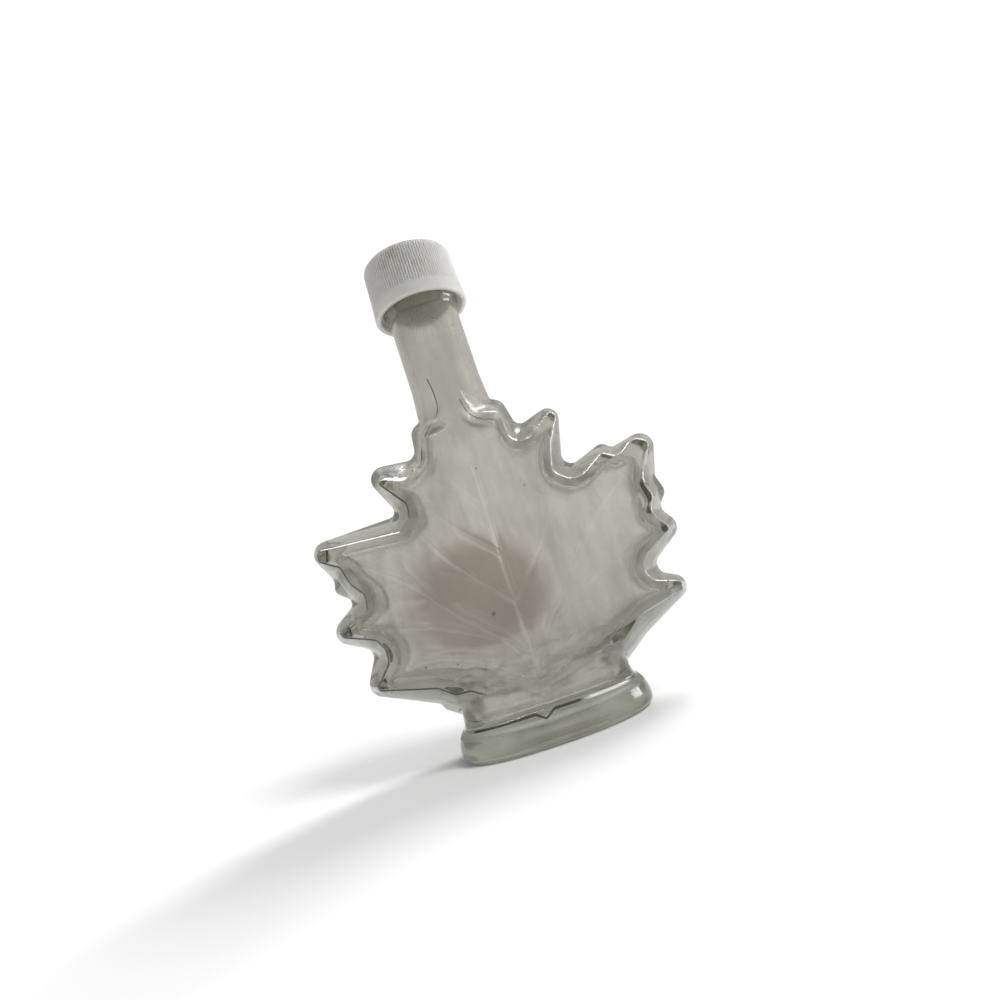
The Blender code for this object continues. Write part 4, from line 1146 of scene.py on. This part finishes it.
def add_light(name, kind, energy, place, direction, receivers):
    """A light for its receivers alone; its direction points from the bottle to the light."""
    light = bpy.data.objects.new(name, bpy.data.lights.new(name, kind))
    light.data.energy = energy
    light.location = place
    light.rotation_euler = direction.to_track_quat("Z", "Y").to_euler()
    light.visible_transmission = False
    light.light_linking.receiver_collection = receivers
    bpy.context.scene.collection.objects.link(light)
    return light


def add_soft_box(name, turn, energy, receivers):
    """A square light on a circle round the bottle's front, turned from above towards the right."""
    angle = math.radians(turn)
    away = Vector((math.sin(angle), 0.05, math.cos(angle))).normalized()
    place = SOFT_BOX_CENTRE + away * SOFT_BOX_DISTANCE
    box = add_light(name, "AREA", energy, place, away, receivers)
    box.data.shape = "SQUARE"
    box.data.size = SOFT_BOX_SIZE


def add_sun(name, direction, energy, spread, receivers):
    sun = add_light(name, "SUN", energy, Vector(), Vector(direction), receivers)
    sun.data.angle = math.radians(spread)
    sun.visible_glossy = False


def receivers_of(name, pieces):
    collection = bpy.data.collections.new(name)
    for piece in pieces:
        collection.objects.link(piece)
    return collection


def build_lights(glass, cap, floor):
    """Soft suns for the floor and the cap, and soft boxes that leave the floor alone."""
    glass_only = receivers_of("glass_only", [glass])
    bottle_and_cap = receivers_of("bottle_and_cap", [glass, cap])
    floor_only = receivers_of("floor_only", [floor])
    add_sun("front_light", (0.55, -0.45, 0.70), 1.9, 24.0, floor_only)
    add_sun("back_light", (0.46, 0.42, 0.78), 1.75, 24.0, floor_only)
    add_sun("side_light", (0.70, -0.20, 0.65), 1.3, 30.0, bottle_and_cap)
    add_soft_box("soft_box_above", -12.0, 3.4, glass_only)
    add_soft_box("soft_box_aslant", 42.0, 3.4, glass_only)
    add_soft_box("soft_box_right", 92.0, 2.0, bottle_and_cap)


def build_world():
    """White behind the object, and a dimmer room for what the glass bends and mirrors."""
    world = bpy.data.worlds.new("studio")
    bpy.context.scene.world = world
    nodes = Nodes(world)
    direction = nodes.add("TexCoord").outputs["Generated"]
    x, y, z = nodes.add("SeparateXYZ", Vector=direction).outputs
    level = nodes.plus(nodes.span(nodes.off(y), 0.0, 0.95, 0.50, 0.655),
                       nodes.times(x, 0.05), nodes.times(z, 0.08))
    room = nodes.plus(nodes.times(level, nodes.span(z, -0.14, 0.10, 0.80, 1.0)),
                      nodes.span(z, -0.80, -0.45, 0.30, 0.0))
    offset = nodes.vector_math("SUBTRACT", direction, DARK_PATCH_DIRECTION)["Vector"]
    offset = nodes.vector_math("MULTIPLY", offset, (1.0, 1.0, DARK_PATCH_FLATNESS))["Vector"]
    patch = nodes.fall(nodes.distance(offset), *DARK_PATCH_EDGE)
    low = nodes.span(nodes.distance(direction, LOW_SHADE_DIRECTION), 0.06, 0.26, 0.4, 0.0)
    colour = nodes.mix(patch, nodes.mix(low, ROOM_COLOUR, LOW_SHADE_COLOUR), DARK_PATCH_COLOUR)
    path = nodes.add("LightPath").outputs
    through = nodes.times(nodes.most(path["Is Transmission Ray"], path["Is Glossy Ray"]),
                          nodes.fall(path["Diffuse Depth"], 0.0, 1.0))
    on_surfaces = nodes.plus(nodes.span(z, 0.1, 0.9, 0.32, 0.46),
                             nodes.span(z, -0.3, -0.1, 0.5, 0.0))
    backdrop = nodes.blend(path["Is Camera Ray"], on_surfaces, BACKDROP_STRENGTH)
    background = nodes.add("Background", Color=nodes.mix(through, rgb(1.0, 1.0, 1.0), colour),
                           Strength=nodes.blend(through, backdrop, room))
    nodes.add("OutputWorld", Surface=background.outputs["Background"])


def main():
    bottle = build_bottle(glass_material())
    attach(bottle, "root")
    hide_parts("leaf_bottle_glass")
    cap = build_cap(plastic_material())
    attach(cap, "root")
    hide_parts("screw_cap")
    floor = build_floor()
    build_lights(bottle, cap, floor)
    build_world()
    build_camera()
    bpy.context.scene.view_settings.view_transform = "Standard"
    bpy.context.scene.cycles.max_bounces = 24
    bpy.context.scene.cycles.glossy_bounces = 16
    bpy.context.scene.cycles.transmission_bounces = 16


main()
